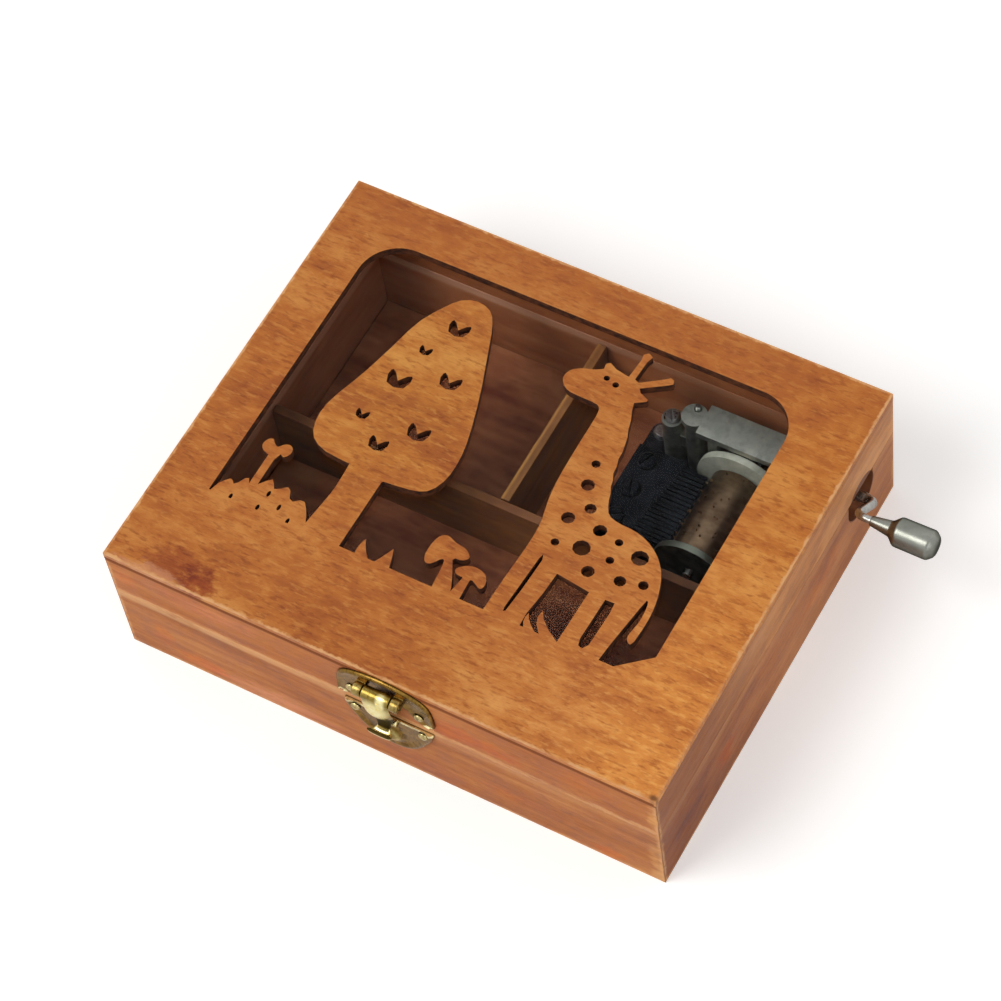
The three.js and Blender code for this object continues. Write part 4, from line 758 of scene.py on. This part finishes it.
def soft_lamp(name, place, size, power, colour):
    """A square area lamp aimed at the box, in metres and watts."""
    data = bpy.data.lights.new(name, "AREA")
    data.size = size
    data.energy = power
    data.color = colour
    lamp = bpy.data.objects.new(name, data)
    place, target = np.array(place), np.array([0, 0, 0.01])
    forward = (target - place) / np.linalg.norm(target - place)
    right = np.cross(forward, ALONG_Z)
    right /= np.linalg.norm(right)
    lamp.matrix_world = standing(place, right, np.cross(right, forward), forward)
    bpy.context.scene.collection.objects.link(lamp)


def studio_floor():
    """White floor that keeps the object's shadow."""
    reach, drop = 3000, -0.05
    corners = [(-1, -1), (1, -1), (1, 1), (-1, 1)]
    points = [(x * reach, y * reach, drop) for x, y in corners]
    finish = Finish("studio_floor", roughness=0.9, specular=0.1)
    finish.feed(finish.shader.inputs["Base Color"], (0.94, 0.94, 0.94, 1))
    finish.feed(finish.shader.inputs["Emission Color"], (1, 1, 1, 1))
    camera_ray = finish.node("LightPath", {}).outputs["Is Camera Ray"]
    finish.feed(finish.shader.inputs["Emission Strength"], finish.product(camera_ray, 0.3))
    floor = new_piece("studio_floor", points, [(0, 1, 2, 3)], finish.material, smooth=False)


photograph_camera()
studio_world(0.5)
soft_lamp("key", (-0.6, -0.78, 1.28), 0.8, 11.5, (1, 0.985, 0.96))
soft_lamp("fill", (1.2, -0.6, 0.7), 0.9, 3.0, (0.97, 0.98, 1))
studio_floor()
bpy.context.scene.view_settings.view_transform = "Standard"


# Wooden box
BOARD_EASE = 0.1
PANEL_EASE = 0.12
INNER_EASE = 0.2

# Each wall and rail: direction of its grain, shift of its pattern, tones, worn box,
# patches, painted shade along y, and the strength of the glue line
WALLS = {
    "front": ("x", 11.0, BASE_TONES, BASE_BOX, BASE_FRONT_PATCHES, None, None),
    "right": ("y", 23.0, SIDE_TONES, WHOLE_BOX, BASE_RIGHT_PATCHES, (2, -34, PAINTED_SIDE_SHADE, 0.6), None),
    "back": ("x", 37.0, BACK_TONES, BASE_BOX, (), None, None),
    "left": ("y", 51.0, BACK_TONES, BASE_BOX, (), None, None),
}
RAILS = {
    "front": ("x", 71.0, FRONT_TONES, LID_BOX, LID_FRONT_PATCHES, None, 0.85),
    "right": ("y", 83.0, RAIL_TONES, WHOLE_BOX, (), (16, -30, PAINTED_SIDE_SHADE, 0.75), 0.25),
    "back": ("x", 97.0, BACK_TONES, LID_BOX, (), None, 0.85),
    "left": ("y", 13.0, BACK_TONES, LID_BOX, (), None, 0.85),
}
INNER_BOARDS = {
    "bottom_panel": ("x", 5.0, FLOOR_TONES, False),
    "cross_divider": ("x", 19.0, DIVIDER_TONES, False),
    "long_divider": ("y", 29.0, DIVIDER_TONES, True),
}


def build_box():
    """Walls, rails, top board, inner boards and pane, each with its own material."""
    for body, part, sides in (("base", "wall", WALLS), ("lid", "rail", RAILS)):
        for side, look in sides.items():
            wood = side_wood(f"{body}_{side}_wood", *look)
            node = f"{body}_{side}_{part}"
            place_piece(board_copy(node, wood, BOARD_EASE, look[0]), body, node)
    panel = board_copy("lid_panel", panel_wood(), PANEL_EASE)
    place_piece(panel, "lid", "lid_panel")
    for node, look in INNER_BOARDS.items():
        board = board_copy(node, inner_wood(node, *look), INNER_EASE)
        place_piece(board, "base", node)
    # The pane's top stays clear of the board that it lies against
    pane = board_copy("window_pane", pane_material(), 0)
    points = mesh_points(pane.data)
    points[:, 2] = np.minimum(points[:, 2], PANEL_FOOT - 0.06)
    move_points(pane.data, points)
    place_piece(pane, "lid", "window_pane")


# Brass latch and hinges
# Painted highlight spots on the flap's crown and ridge, each (centre, reach)
FLAP_CROWN_HIGHLIGHT = ((LATCH_X - 0.2, -55.2, 28.6), (4.4, 5, 3.4))
FLAP_RIDGE_HIGHLIGHT = ((LATCH_X + 1.3, -54.4, 31.0), (1.5, 4, 2.8))
OLIVE_BRASS = (linear(94, 68, 26), linear(156, 122, 58))
# Paler brass of the proud parts: rubbed wear and painted highlight
RUBBED_AND_LIT_BRASS = (linear(118, 102, 50), linear(206, 190, 124))
WAIST_BRASS = (linear(104, 84, 34), linear(166, 142, 72))
# Pale brass of the flap's painted highlights
HIGHLIGHT_BRASS = (linear(240, 220, 140), linear(255, 248, 192))
LIT_BRASS = linear(244, 232, 176)
# Painted shade where the latch plates meet the wood
CONTACT_SHADE_BROWN = linear(40, 30, 14)
# Painted shade in the flap's waist
WAIST_SHADE_BROWN = linear(46, 36, 16)


def latch_patterns(finish, size):
    """The mottling and the fine grain that the latch's brass is worked from."""
    return finish.noise(size, (2, 4, 1), 4, 0.62, 0.5), finish.noise(0.35, (1, 2, 3), 3, 0.6)


def plate_brass():
    """Plated brass gone olive and dull, paler on its proud beads and loops from rubbing and a painted
    highlight, with painted shade where it meets the wood.
    """
    finish = Finish("plate_brass", metallic=1.0)
    mottle, fine = latch_patterns(finish, 1.6)
    dull = finish.ramp(mottle, *zip((0.32, 0.7), OLIVE_BRASS))
    bright = finish.ramp(mottle, *zip((0.36, 0.66), RUBBED_AND_LIT_BRASS))
    # Proud parts are paler: partly rubbed brass, partly painted highlight
    uneven_y = finish.maths("MULTIPLY_ADD", mottle, 0.5, finish.y)
    proud = finish.product(finish.band(uneven_y, -51.62, -51.95),
                           finish.band(finish.y, -52.7, -52.3, 0.45, 0.8))
    colour = finish.mix(proud, dull, bright)
    # Light caught by the plates' beads, above and below the lid's seam
    for low, high in ((19.7, 20.0), (23.95, 23.65)):
        lit = finish.product(finish.band(finish.z, low, high),
                             finish.band(mottle, 0.4, 0.55, 0.4),
                             finish.band(finish.away(finish.z, 21.8), 2.4, 2.2))
        colour = finish.mix(lit, colour, LIT_BRASS)
    # Painted shade along the plates' edges where they meet the wood
    contact_shade = finish.band(finish.y, -51.4, -51.1, high=0.85)
    colour = finish.mix(contact_shade, colour, CONTACT_SHADE_BROWN)
    gloss = finish.maths("MULTIPLY_ADD", mottle, 0.3, 0.14)
    return finish.paint(colour, gloss, finish.bump(fine, 0.03))


def flap_brass():
    """Brass flap, olive, with a painted highlight on the crown and the lip and painted shade in the
    waist.
    """
    finish = Finish("flap_brass", metallic=1.0)
    mottle, fine = latch_patterns(finish, 1.3)
    dull = finish.ramp(mottle, *zip((0.32, 0.7), WAIST_BRASS))
    bright = finish.ramp(mottle, *zip((0.3, 0.62), HIGHLIGHT_BRASS))
    # Painted highlight on the crown, the ridge and the lip
    crown = finish.spot(*FLAP_CROWN_HIGHLIGHT, mottle, 0.3)
    ridge = finish.spot(*FLAP_RIDGE_HIGHLIGHT, mottle, 0.3)
    lip = finish.band(finish.z, 19.7, 19.2)
    colour = finish.mix(finish.most(crown, ridge, lip), dull, bright)
    # Painted shade in the waist, under the crown
    waist = finish.product(finish.band(finish.z, 26.2, 24.8), finish.band(finish.z, 19.3, 19.9))
    colour = finish.mix(finish.product(waist, 0.92), colour, WAIST_SHADE_BROWN)
    gloss = finish.total(finish.product(mottle, 0.3), finish.product(waist, 0.3), 0.14)
    return finish.paint(colour, gloss, finish.bump(fine, 0.03))


NAIL_BRASS = metal("nail_brass", (150, 128, 74), (222, 206, 150), (0.18, 0.34), 0.8,
                   grime=((62, 46, 20), 0.5, 1.2))
HINGE_BRASS = metal("hinge_brass", (160, 132, 72), (204, 176, 108), (0.25, 0.42), 5,
                    (4, 0.3, 0.3), ((100, 80, 42), 0.5, 3.2))

# A round headed nail: the length in the wood and its tapered end, then the radii of
# the shank, of the head's underside and of the head, and the dome's rise
NAIL_LENGTH = 4.4
NAIL_TAPER = 0.8
NAIL_SHANK = 0.48
HEAD_UNDERSIDE = 1.02
HEAD_RADIUS = 1.12
HEAD_RISE = 0.55


def round_nail(x, outward, z, body, node):
    """Round headed nail: a shank in the wood and a domed head standing outward in y.

    The dome's profile is (rise * sin t, radius * cos t), with t a quarter turn.
    """
    t = np.linspace(0, TURN / 4, 9)[1:]
    dome = np.stack([HEAD_RISE * np.sin(t), HEAD_RADIUS * np.cos(t)], axis=1)
    foot = [(-NAIL_LENGTH, 0), (NAIL_TAPER - NAIL_LENGTH, NAIL_SHANK), (0, NAIL_SHANK),
            (0, HEAD_UNDERSIDE), (0.04, HEAD_RADIUS)]
    parts = skin(np.vstack([foot, dome]), (0, outward, 0), (x, outward * NAIL_SEAT, z), 28)
    nail = new_piece(f"{node}_round", *parts, NAIL_BRASS, sharp=50)
    place_piece(nail, body, node)


# Right half of the upper plate's outline and of the arch cut in its foot, as shares of
# its half width and height
UPPER_HALF_WIDTH = 11.0
UPPER_HEIGHT = 10.8
UPPER_FOOT_Z = 23.5
UPPER_ROWS = 99
UPPER_OUTLINE = ((0, 1), (0.34, 0.97), (0.64, 0.89), (0.82, 0.8), (0.93, 0.66),
                 (0.985, 0.42), (1.0, 0.12), (0.985, 0.0))
UPPER_ARCH = ((0, 0.42), (0.2, 0.415), (0.3, 0.4), (0.47, 0.34), (0.56, 0.17), (0.7, 0.06),
              (0.8, 0.02), (0.88, 0.0))
# The same plate's section from the arch to the outline: (share of the way, height)
UPPER_SECTION = np.array([
    (0.0, 0.0), (0.0, 0.42), (0.03, 0.66), (0.09, 0.84), (0.16, 0.7), (0.24, 0.52), (0.5, 0.56),
    (0.74, 0.52), (0.84, 0.7), (0.91, 0.84), (0.97, 0.66), (1.0, 0.42), (1.0, 0.0),
])


def upper_plate():
    """Arched plate: a strip between an outer and an inner curve, with beaded rims.

    Point (s, t) = inner(s) + t (outer(s) - inner(s)), standing depth(t) off the wood.
    """
    curves = []
    for half in (UPPER_OUTLINE, UPPER_ARCH):
        half = np.array(half)
        whole = np.vstack([half[:0:-1] * (-1, 1), half])
        size, foot = (UPPER_HALF_WIDTH, UPPER_HEIGHT), (LATCH_X, UPPER_FOOT_Z)
        curves.append(smooth_line(whole, UPPER_ROWS) * size + foot)
    outer, inner = curves
    flat = inner[:, None, :] + UPPER_SECTION[None, :, :1] * (outer - inner)[:, None, :]
    depth = np.broadcast_to(-HALF_DEPTH - UPPER_SECTION[:, 1], flat.shape[:2])
    return closed_strip(np.stack([flat[..., 0], depth, flat[..., 1]], axis=-1))


# The plate's two loops: how far from the latch's middle, half length and radius, then
# the webs' half height, their start off the wood and their end short of the pin's middle
LOOP_X = 4.25
LOOP_HALF = 0.98
LOOP_RADIUS = 1.5
WEB_HALF = 0.9
WEB_START = 0.4
WEB_END = 1.0


def knuckle_loops():
    """The two loops of the upper plate, round the pin, with the webs that carry them."""
    parts = []
    for middle in (LATCH_X - LOOP_X, LATCH_X + LOOP_X):
        loop = tube(-LOOP_HALF, LOOP_HALF, LATCH_BORE, LOOP_RADIUS, TUBE_EASE)
        parts.append(skin(loop, ALONG_X, (middle, *LATCH_PIN[1:]), 36, ring=True))
        x = np.array([middle - LOOP_HALF, middle + LOOP_HALF])
        y = np.array([-HALF_DEPTH - WEB_START, LATCH_PIN[1] + WEB_END])
        z = np.array([LATCH_PIN[2] - WEB_HALF, LATCH_PIN[2] + WEB_HALF])
        corners = np.stack(np.meshgrid(x, y, z, indexing="ij"), axis=-1).reshape(-1, 3)
        sides = [(0, 1, 3, 2), (4, 6, 7, 5), (0, 4, 5, 1), (2, 3, 7, 6), (0, 2, 6, 4), (1, 5, 7, 3)]
        parts.append((corners, sides))
    return parts


# Right half of the lower plate's outline, as shares of its half width and height
LOWER_HALF_WIDTH = 10.2
LOWER_HEIGHT = 11.2
LOWER_FOOT_Z = 9.1
LOWER_ROWS = 91
LOWER_OUTLINE = ((0.985, 1.0), (1.0, 0.95), (0.94, 0.76), (0.82, 0.55), (0.67, 0.33),
                 (0.48, 0.14), (0.25, 0.03), (0, 0))
# The same plate's section from its top middle to the outline: (share, height)
LOWER_SECTION = np.array([
    (0.0, 0.52), (0.14, 0.52), (0.28, 0.52), (0.4, 0.52), (0.5, 0.52), (0.6, 0.52),
    (0.68, 0.52), (0.75, 0.52), (0.8, 0.54), (0.85, 0.7), (0.895, 0.92), (0.93, 0.96),
    (0.965, 0.84), (0.99, 0.6), (1.0, 0.4), (1.0, 0.0), (0.5, 0.0), (0.0, 0.0),
])
DOME_RADIUS = 3.6
DOME_RISE = 1.4
DOME_Z = 13.8
CATCH_Y = -51.7
CATCH_Z = 19.35
CATCH_HALF = 2.2
CATCH_RADIUS = 0.95
CATCH_EASE = 0.6


def lower_plate():
    """Half disc with a beaded rim and a pressed dome.

    Point (a, r) = top middle + r (outline(a) - top middle), standing off the wood by
    the section at r plus the dome's rise * (1 - d^2)^2, d the share of its radius.
    """
    half = np.array(LOWER_OUTLINE)
    whole = np.vstack([half, half[-2::-1] * (-1, 1)])
    size, foot = (LOWER_HALF_WIDTH, LOWER_HEIGHT), (LATCH_X, LOWER_FOOT_Z)
    outline = smooth_line(whole, LOWER_ROWS) * size + foot
    middle = np.array([LATCH_X, LOWER_FOOT_Z + LOWER_HEIGHT])
    share, height = LOWER_SECTION[None, :, :1], LOWER_SECTION[None, :, 1]
    flat = middle + share * (outline - middle)[:, None, :]
    d = np.hypot(flat[..., 0] - LATCH_X, flat[..., 1] - DOME_Z) / DOME_RADIUS
    dome = DOME_RISE * np.clip(1 - d ** 2, 0, 1) ** 2 * (height > 0.1)
    depth = -HALF_DEPTH - height - dome
    return closed_strip(np.stack([flat[..., 0], depth, flat[..., 1]], axis=-1))


# The flap from the pin down to its lip: the bend as shares of its reach and length,
# and the half widths at shares of the way
FLAP_REACH = 2.2
FLAP_LENGTH = 12.7
FLAP_HALF_THICKNESS = 0.34
FLAP_ROWS = 73
FLAP_BEND = ((0.52, 0.0), (0.74, 0.17), (0.84, 0.33), (0.46, 0.5), (0.05, 0.66),
             (-0.04, 0.82), (0.14, 0.945), (0.55, 1.0), (0.92, 0.965), (1.0, 0.9))
FLAP_PLACES = (0, 0.34, 0.46, 0.55, 0.68, 0.78, 1)
FLAP_HALF_WIDTHS = (3.1, 3.1, 2.5, 1.5, 1.35, 2.4, 2.75)


def flap_sheet():
    """The hanging flap: bent sheet whose bend, width and crown follow its length.

    Middle sheet (a, b) = path(a) + b half_width(a) x, sunk by crown(a) b^2; both faces
    stand half a thickness off it along its normal.
    """
    path = smooth_line(FLAP_BEND, FLAP_ROWS) * (-FLAP_REACH, -FLAP_LENGTH) + LATCH_PIN[1:]
    a = np.linspace(0, 1, FLAP_ROWS)
    half_width = np.interp(a, FLAP_PLACES, FLAP_HALF_WIDTHS)
    half_width = np.convolve(np.pad(half_width, 4, mode="edge"), np.ones(9) / 9, mode="valid")
    crown = np.exp(-((a - 0.25) / 0.16) ** 2) + 0.12
    b = np.linspace(-1, 1, 19)
    x = LATCH_X + half_width[:, None] * b
    y = path[:, 0, None] + crown[:, None] * b ** 2
    z = np.broadcast_to(path[:, 1, None], x.shape)
    sheet = np.stack([x, y, z], axis=-1)
    normal = np.cross(np.gradient(sheet, axis=0), np.gradient(sheet, axis=1))
    normal /= np.linalg.norm(normal, axis=-1, keepdims=True)
    half_thickness = FLAP_HALF_THICKNESS * np.sqrt(np.clip(1 - b ** 8, 0.12, 1))[None, :, None]
    front = sheet + normal * half_thickness
    back = sheet - normal * half_thickness
    return closed_strip(np.concatenate([front, back[:, ::-1]], axis=1))


# The pin, and the flap's knuckle that turns on it: half lengths and radii
LATCH_PIN_HALF = 5.2
LATCH_PIN_RADIUS = 0.6
KNUCKLE_HALF = 3.1
KNUCKLE_RADIUS = 1.45

# Latch nails, each (how far from the latch's middle, height, body)
LATCH_NAILS = (
    (-7.7, 26.2, "lid"), (7.7, 26.2, "lid"), (-7.752, 18.508, "base"), (7.752, 18.508, "base"),
)


def build_latch():
    """Latch plates, pin, flap and nails."""
    brass = plate_brass()
    upper = merged("latch_upper_plate_beaded", [upper_plate(), *knuckle_loops()], brass, 50)
    place_piece(upper, "lid", "latch_upper_plate")
    pin_bar = bar(-LATCH_PIN_HALF, LATCH_PIN_HALF, LATCH_PIN_RADIUS, PIN_EASE)
    pin = new_piece("latch_pin_round", *skin(pin_bar, ALONG_X, LATCH_PIN, 24), brass)
    place_piece(pin, "lid", "latch_pin")
    knuckle_tube = tube(-KNUCKLE_HALF, KNUCKLE_HALF, LATCH_BORE, KNUCKLE_RADIUS, PIN_EASE)
    knuckle = skin(knuckle_tube, ALONG_X, LATCH_PIN, 40, ring=True)
    flap = merged("latch_flap_crowned", [flap_sheet(), knuckle], flap_brass(), 60)
    place_piece(flap, "latch", "latch_flap")
    catch_bar = bar(-CATCH_HALF, CATCH_HALF, CATCH_RADIUS, CATCH_EASE)
    catch = skin(catch_bar, ALONG_X, (LATCH_X, CATCH_Y, CATCH_Z), 32)
    lower = merged("latch_lower_plate_beaded", [lower_plate(), catch], brass, 50)
    place_piece(lower, "base", "latch_lower_plate")
    for number, (x, z, body) in enumerate(LATCH_NAILS, 1):
        round_nail(LATCH_X + x, -1, z, body, f"latch_nail_{number}")


# Hinges: their middles, the leaves' eased edges, the pins and the nails
HINGE_X = 38
LEAF_EASE = 0.12
HINGE_PIN_Y = 52.55
HINGE_PIN_HALF = 8
HINGE_PIN_RADIUS = 0.68
HINGE_NAIL_X = 4.8
HINGE_NAIL_Z = {"lid": 26.0, "base": 16.1}


def build_hinges():
    """Butt hinges on the back, with their pins and nails."""
    for label, x in (("left", -HINGE_X), ("right", HINGE_X)):
        for body, z in HINGE_NAIL_Z.items():
            leaf = f"hinge_{label}_{body}_leaf"
            place_piece(board_copy(leaf, HINGE_BRASS, LEAF_EASE), body, leaf)
            for number, offset in ((1, HINGE_NAIL_X), (2, -HINGE_NAIL_X)):
                round_nail(x + offset, 1, z, body, f"hinge_{label}_{body}_nail_{number}")
        pin_bar = bar(-HINGE_PIN_HALF, HINGE_PIN_HALF, HINGE_PIN_RADIUS, PIN_EASE)
        parts = skin(pin_bar, ALONG_X, (x, HINGE_PIN_Y, SEAM), 24)
        pin = new_piece(f"hinge_{label}_pin_round", *parts, HINGE_BRASS)
        place_piece(pin, "base", f"hinge_{label}_pin")


# Movement
CAST_ZINC = metal("cast_zinc", (150, 155, 146), (184, 187, 176), (0.4, 0.55), 4, 0.45,
                  ((112, 116, 106), 0.4, 1.6), 0.04)
# A paler, less metallic copy of the cast zinc: painted light for the back bracket, which stands in
# shade inside the box
BRIGHTENED_ZINC = metal("brightened_zinc", (166, 171, 155), (200, 204, 188), (0.5, 0.65), 4, 0.45,
                  ((150, 154, 138), 0.4, 1.6), 0.04, metallic=0.35)
# Dark zinc whose edge faces carry a painted highlight
DARK_ZINC = metal("dark_zinc", (62, 66, 62), (104, 110, 102), (0.4, 0.55), 3, 0.45,
                  ((40, 42, 42), 0.5, 2.2), 0.04, edges=(118, 124, 112))
BLUED_PLATE = metal("blued_plate", (34, 38, 44), (60, 64, 70), (0.34, 0.5), 4, (0.8, 5, 0.8),
                    ((24, 24, 26), 0.5, 2), 0.01)
COMB_STEEL = metal("comb_steel", (28, 30, 34), (46, 50, 56), (0.38, 0.48), (3, 6, 3),
                   (3, 0.9, 0.9), ((32, 32, 35), 0.4, 2.5), 0.006)
DRUM_BRASS = metal("drum_brass", (98, 78, 60), (134, 112, 88), (0.32, 0.45), (4, 2, 4),
                   (0.5, 0.25, 0.5), ((72, 56, 42), 0.5, 2))
BRIGHT_STEEL = metal("bright_steel", (150, 151, 148), (196, 196, 190), (0.18, 0.3), 2,
                     (0.25, 3, 3), ((110, 108, 104), 0.35, 1.2))
NICKEL = metal("nickel_knob", (122, 124, 116), (146, 147, 139), (0.29, 0.31), (6, 3, 3),
               (9, 0.6, 0.6), ((108, 106, 103), 0.25, 3.5), 0.003, 0.2)
SCREW_ZINC = metal("screw_zinc", (138, 140, 140), (186, 187, 184), (0.25, 0.4), 1.5,
                   grime=((92, 92, 92), 0.4, 1.0))

# Castings and gears: material, ease of the edges, body and slot
CASTINGS = {
    "bedplate": (BLUED_PLATE, 0.18, "base", "dark_steel"),
    "comb": (COMB_STEEL, 0.07, "base", "dark_steel"),
    "front_bearing_bracket": (DARK_ZINC, 0.22, "base", "dark_steel"),
    "back_bearing_bracket": (BRIGHTENED_ZINC, 0.3, "base", "cast_zinc"),
    "crank_bracket": (CAST_ZINC, 0.32, "base", "cast_zinc"),
    "crank_worm": (BRIGHT_STEEL, 0.06, "crank", "nickel_steel"),
    "worm_wheel": (DRUM_BRASS, 0.05, "cylinder", "aged_brass"),
}
SCREW_EASE = 0.1
SCREWS = {
    f"{group}_screw_{number}": finish
    for group, finish in (("bedplate", SCREW_ZINC), ("comb", COMB_STEEL)) for number in (1, 2, 3)
}
SCREWS["bracket_screw"] = SCREW_ZINC

# Pinned cylinder: half its length and its radii, then its notes and pins, whose rings
# are (distance from the axis, radius)
DRUM_END = 9.85
DRUM_RADIUS = 6.0
DRUM_RIM = 5.1
DRUM_HUB = 2.6
DRUM_BORE = 1.15
DRUM_RECESS = 0.8
STEPS = 60
TRACKS = 18
TRACK_PITCH = 1.05
PIN_SIDES = 8
PIN_RINGS = np.array([(5.85, 0.0), (5.85, 0.25), (6.1, 0.2), (6.6, 0.13), (6.68, 0.08), (6.68, 0.0)])


def drum_sleeve():
    """The cylinder's sleeve, with hollow ends and a hub round the arbor."""
    bottom = DRUM_RECESS - DRUM_END
    half = [(-DRUM_END, DRUM_BORE), (-DRUM_END, DRUM_HUB), (bottom, DRUM_HUB),
            (bottom, DRUM_RIM), (-DRUM_END, DRUM_RIM), (-DRUM_END, DRUM_RADIUS)]
    profile = half + [(-along, radius) for along, radius in half[::-1]]
    return skin(rounded(profile, 0.2, 3), ALONG_Y, DRUM_AXIS, 96, ring=True)


def drum_pins():
    """A tapered pin at each note, all worked at once.

    Pin (k, ring, t) = cylinder's axis at the note's track, out along the note's radius
    by the ring's distance, and turned about that radius by t. The tune is a guess: two
    series of tracks, the second sounding on even steps where they differ.
    """
    steps = np.arange(STEPS)
    lead, harmony = (steps * 5 + 2) % TRACKS, (steps * 7 + 11) % TRACKS
    second = (steps % 2 == 0) & (harmony != lead)
    angle = TURN * np.concatenate([steps, steps[second]]) / STEPS
    track = (np.concatenate([lead, harmony[second]]) + 0.5 - TRACKS / 2) * TRACK_PITCH
    level = np.zeros_like(angle)
    outward = np.stack([np.sin(angle), level, np.cos(angle)], axis=1)
    aside = np.stack([np.cos(angle), level, -np.sin(angle)], axis=1)
    lengthwise = np.array(ALONG_Y, float)
    t = np.linspace(0, TURN, PIN_SIDES, endpoint=False)[:, None]
    round_pin = np.cos(t) * aside[:, None, :] + np.sin(t) * lengthwise
    points = (DRUM_AXIS + track[:, None, None, None] * lengthwise
              + PIN_RINGS[None, :, None, :1] * outward[:, None, None, :]
              + PIN_RINGS[None, :, None, 1:] * round_pin[:, None, :, :])
    pin = np.array(grid_faces(len(PIN_RINGS), PIN_SIDES))
    starts = np.arange(len(angle)) * len(PIN_RINGS) * PIN_SIDES
    return points.reshape(-1, 3), (pin[None] + starts[:, None, None]).reshape(-1, 4).tolist()


# Crank rod: the reach of its two bends, its eased tips, and the steps round and along it
ROD_BEND = 2.6
ROD_TIP = 0.3
ROD_SIDES = 28
BEND_STEPS = 14


def crank_rod_sweep():
    """Cranked rod: a round section carried along shaft, arm and handle.

    Point (a, t) = path(a) + r (cos t n + sin t b), n in the crank's plane, b across it.
    """
    low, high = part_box("crank_rod")
    start, end = low.x / MM - SHAFT[0], high.x / MM - SHAFT[0]
    arm = CRANK_ARM_X - SHAFT[0]
    path = np.vstack([
        [(start, 0), (start + ROD_TIP, 0)],
        bent((arm - ROD_BEND, 0), (arm, 0), (arm, ROD_BEND), BEND_STEPS),
        bent((arm, CRANK_THROW - ROD_BEND), (arm, CRANK_THROW), (arm + ROD_BEND, CRANK_THROW),
             BEND_STEPS),
        [(end - ROD_TIP, CRANK_THROW), (end, CRANK_THROW)],
    ])
    slope = np.gradient(path, axis=0)
    slope /= np.linalg.norm(slope, axis=1, keepdims=True)
    along = np.array(ALONG_X, float)
    rise = np.array([0, -math.sin(REST_ANGLE), math.cos(REST_ANGLE)])
    across = np.array([0, math.cos(REST_ANGLE), math.sin(REST_ANGLE)])
    centre = SHAFT + path[:, :1] * along + path[:, 1:] * rise
    inside = -slope[:, 1:] * along + slope[:, :1] * rise
    # The first and last places come twice, the second time with no radius, to close the ends
    centre = np.vstack([centre[:1], centre, centre[-1:]])
    inside = np.vstack([inside[:1], inside, inside[-1:]])
    thinning = (np.linspace(1.2, 1.0, BEND_STEPS), np.linspace(0.95, 0.8, BEND_STEPS))
    radius = np.concatenate([[0, 0.95, 1.2], *thinning, [0.8, 0.6, 0]])
    t = np.linspace(0, TURN, ROD_SIDES, endpoint=False)[:, None]
    circle = np.cos(t) * inside[:, None, :] + np.sin(t) * across
    points = centre[:, None, :] + radius[:, None, None] * circle
    return points.reshape(-1, 3), grid_faces(len(points), ROD_SIDES)


# Small turned pieces: the arbor's ends along y and its radius, the stud's radius, and
# the collar's length, bore and radius
ARBOR_FRONT = 7.45
ARBOR_BACK = 38.6
ARBOR_RADIUS = 1
STUD_RADIUS = 0.68
COLLAR_LENGTH = 2
COLLAR_BORE = 1.3
COLLAR_RADIUS = 2.55

# Knob: the outside from its neck to its shoulder, the crown, then the bore
KNOB_OUTSIDE = ((0, 0.9), (0, 1.05), (0.8, 1.17), (3.7, 1.62), (4.3, 1.72), (4.6, 1.9),
                (5.9, 3.15), (6.9, 3.16), (12.3, 3.195), (13.2, 3.2), (14.25, 2.3))
KNOB_CROWN = ((14.48, 1.9), (14.6, 1.1), (14.66, 0.0))
KNOB_BORE = ((13.1, 0.0), (13.1, 0.9))


def place_turned(node, parts, body="base", material=BRIGHT_STEEL, sharp=35):
    """A turned piece of the movement, from its skin, in place of its node."""
    piece = new_piece(f"{node}_turned", *parts, material, sharp=sharp)
    place_piece(piece, body, node)


def build_movement():
    """Castings, comb, screws, cylinder, arbor, stud, collar and crank."""
    for node, (finish, ease, body, slot) in CASTINGS.items():
        place_piece(board_copy(node, finish, ease), body, node)
    for node, finish in SCREWS.items():
        place_piece(board_copy(node, finish, SCREW_EASE), "base", node)
    drum = merged("pinned_cylinder_fine", [drum_sleeve(), drum_pins()], DRUM_BRASS, 40)
    place_piece(drum, "cylinder", "pinned_cylinder")
    arbor_foot = (DRUM_AXIS[0], 0, DRUM_AXIS[2])
    arbor_bar = bar(ARBOR_FRONT, ARBOR_BACK, ARBOR_RADIUS, TUBE_EASE, 4)
    place_turned("cylinder_arbor", skin(arbor_bar, ALONG_Y, arbor_foot, 32), "cylinder")
    low, high = (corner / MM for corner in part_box("bracket_stud"))
    stud_foot = ((low.x + high.x) / 2, (low.y + high.y) / 2, 0)
    stud_bar = bar(low.z, high.z, STUD_RADIUS, PIN_EASE, 4)
    place_turned("bracket_stud", skin(stud_bar, ALONG_Z, stud_foot, 24))
    collar_end = (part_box("crank_collar")[0].x / MM, *SHAFT[1:])
    collar_tube = tube(0, COLLAR_LENGTH, COLLAR_BORE, COLLAR_RADIUS, TUBE_EASE)
    place_turned("crank_collar", skin(collar_tube, ALONG_X, collar_end, ring=True), "crank")

    rod = new_piece("crank_rod_swept", *crank_rod_sweep(), BRIGHT_STEEL, sharp=50)
    place_piece(rod, "crank", "crank_rod")
    knob_end = (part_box("crank_knob")[0].x / MM, SHAFT[1] - CRANK_THROW * math.sin(REST_ANGLE),
                SHAFT[2] + CRANK_THROW * math.cos(REST_ANGLE))
    profile = np.vstack([rounded(KNOB_OUTSIDE, 0.5, 5), KNOB_CROWN, KNOB_BORE])
    knob = skin(profile, ALONG_X, knob_end, 96, ring=True)
    place_turned("crank_knob", knob, "knob", NICKEL, 50)


build_box()
build_latch()
build_hinges()
build_movement()
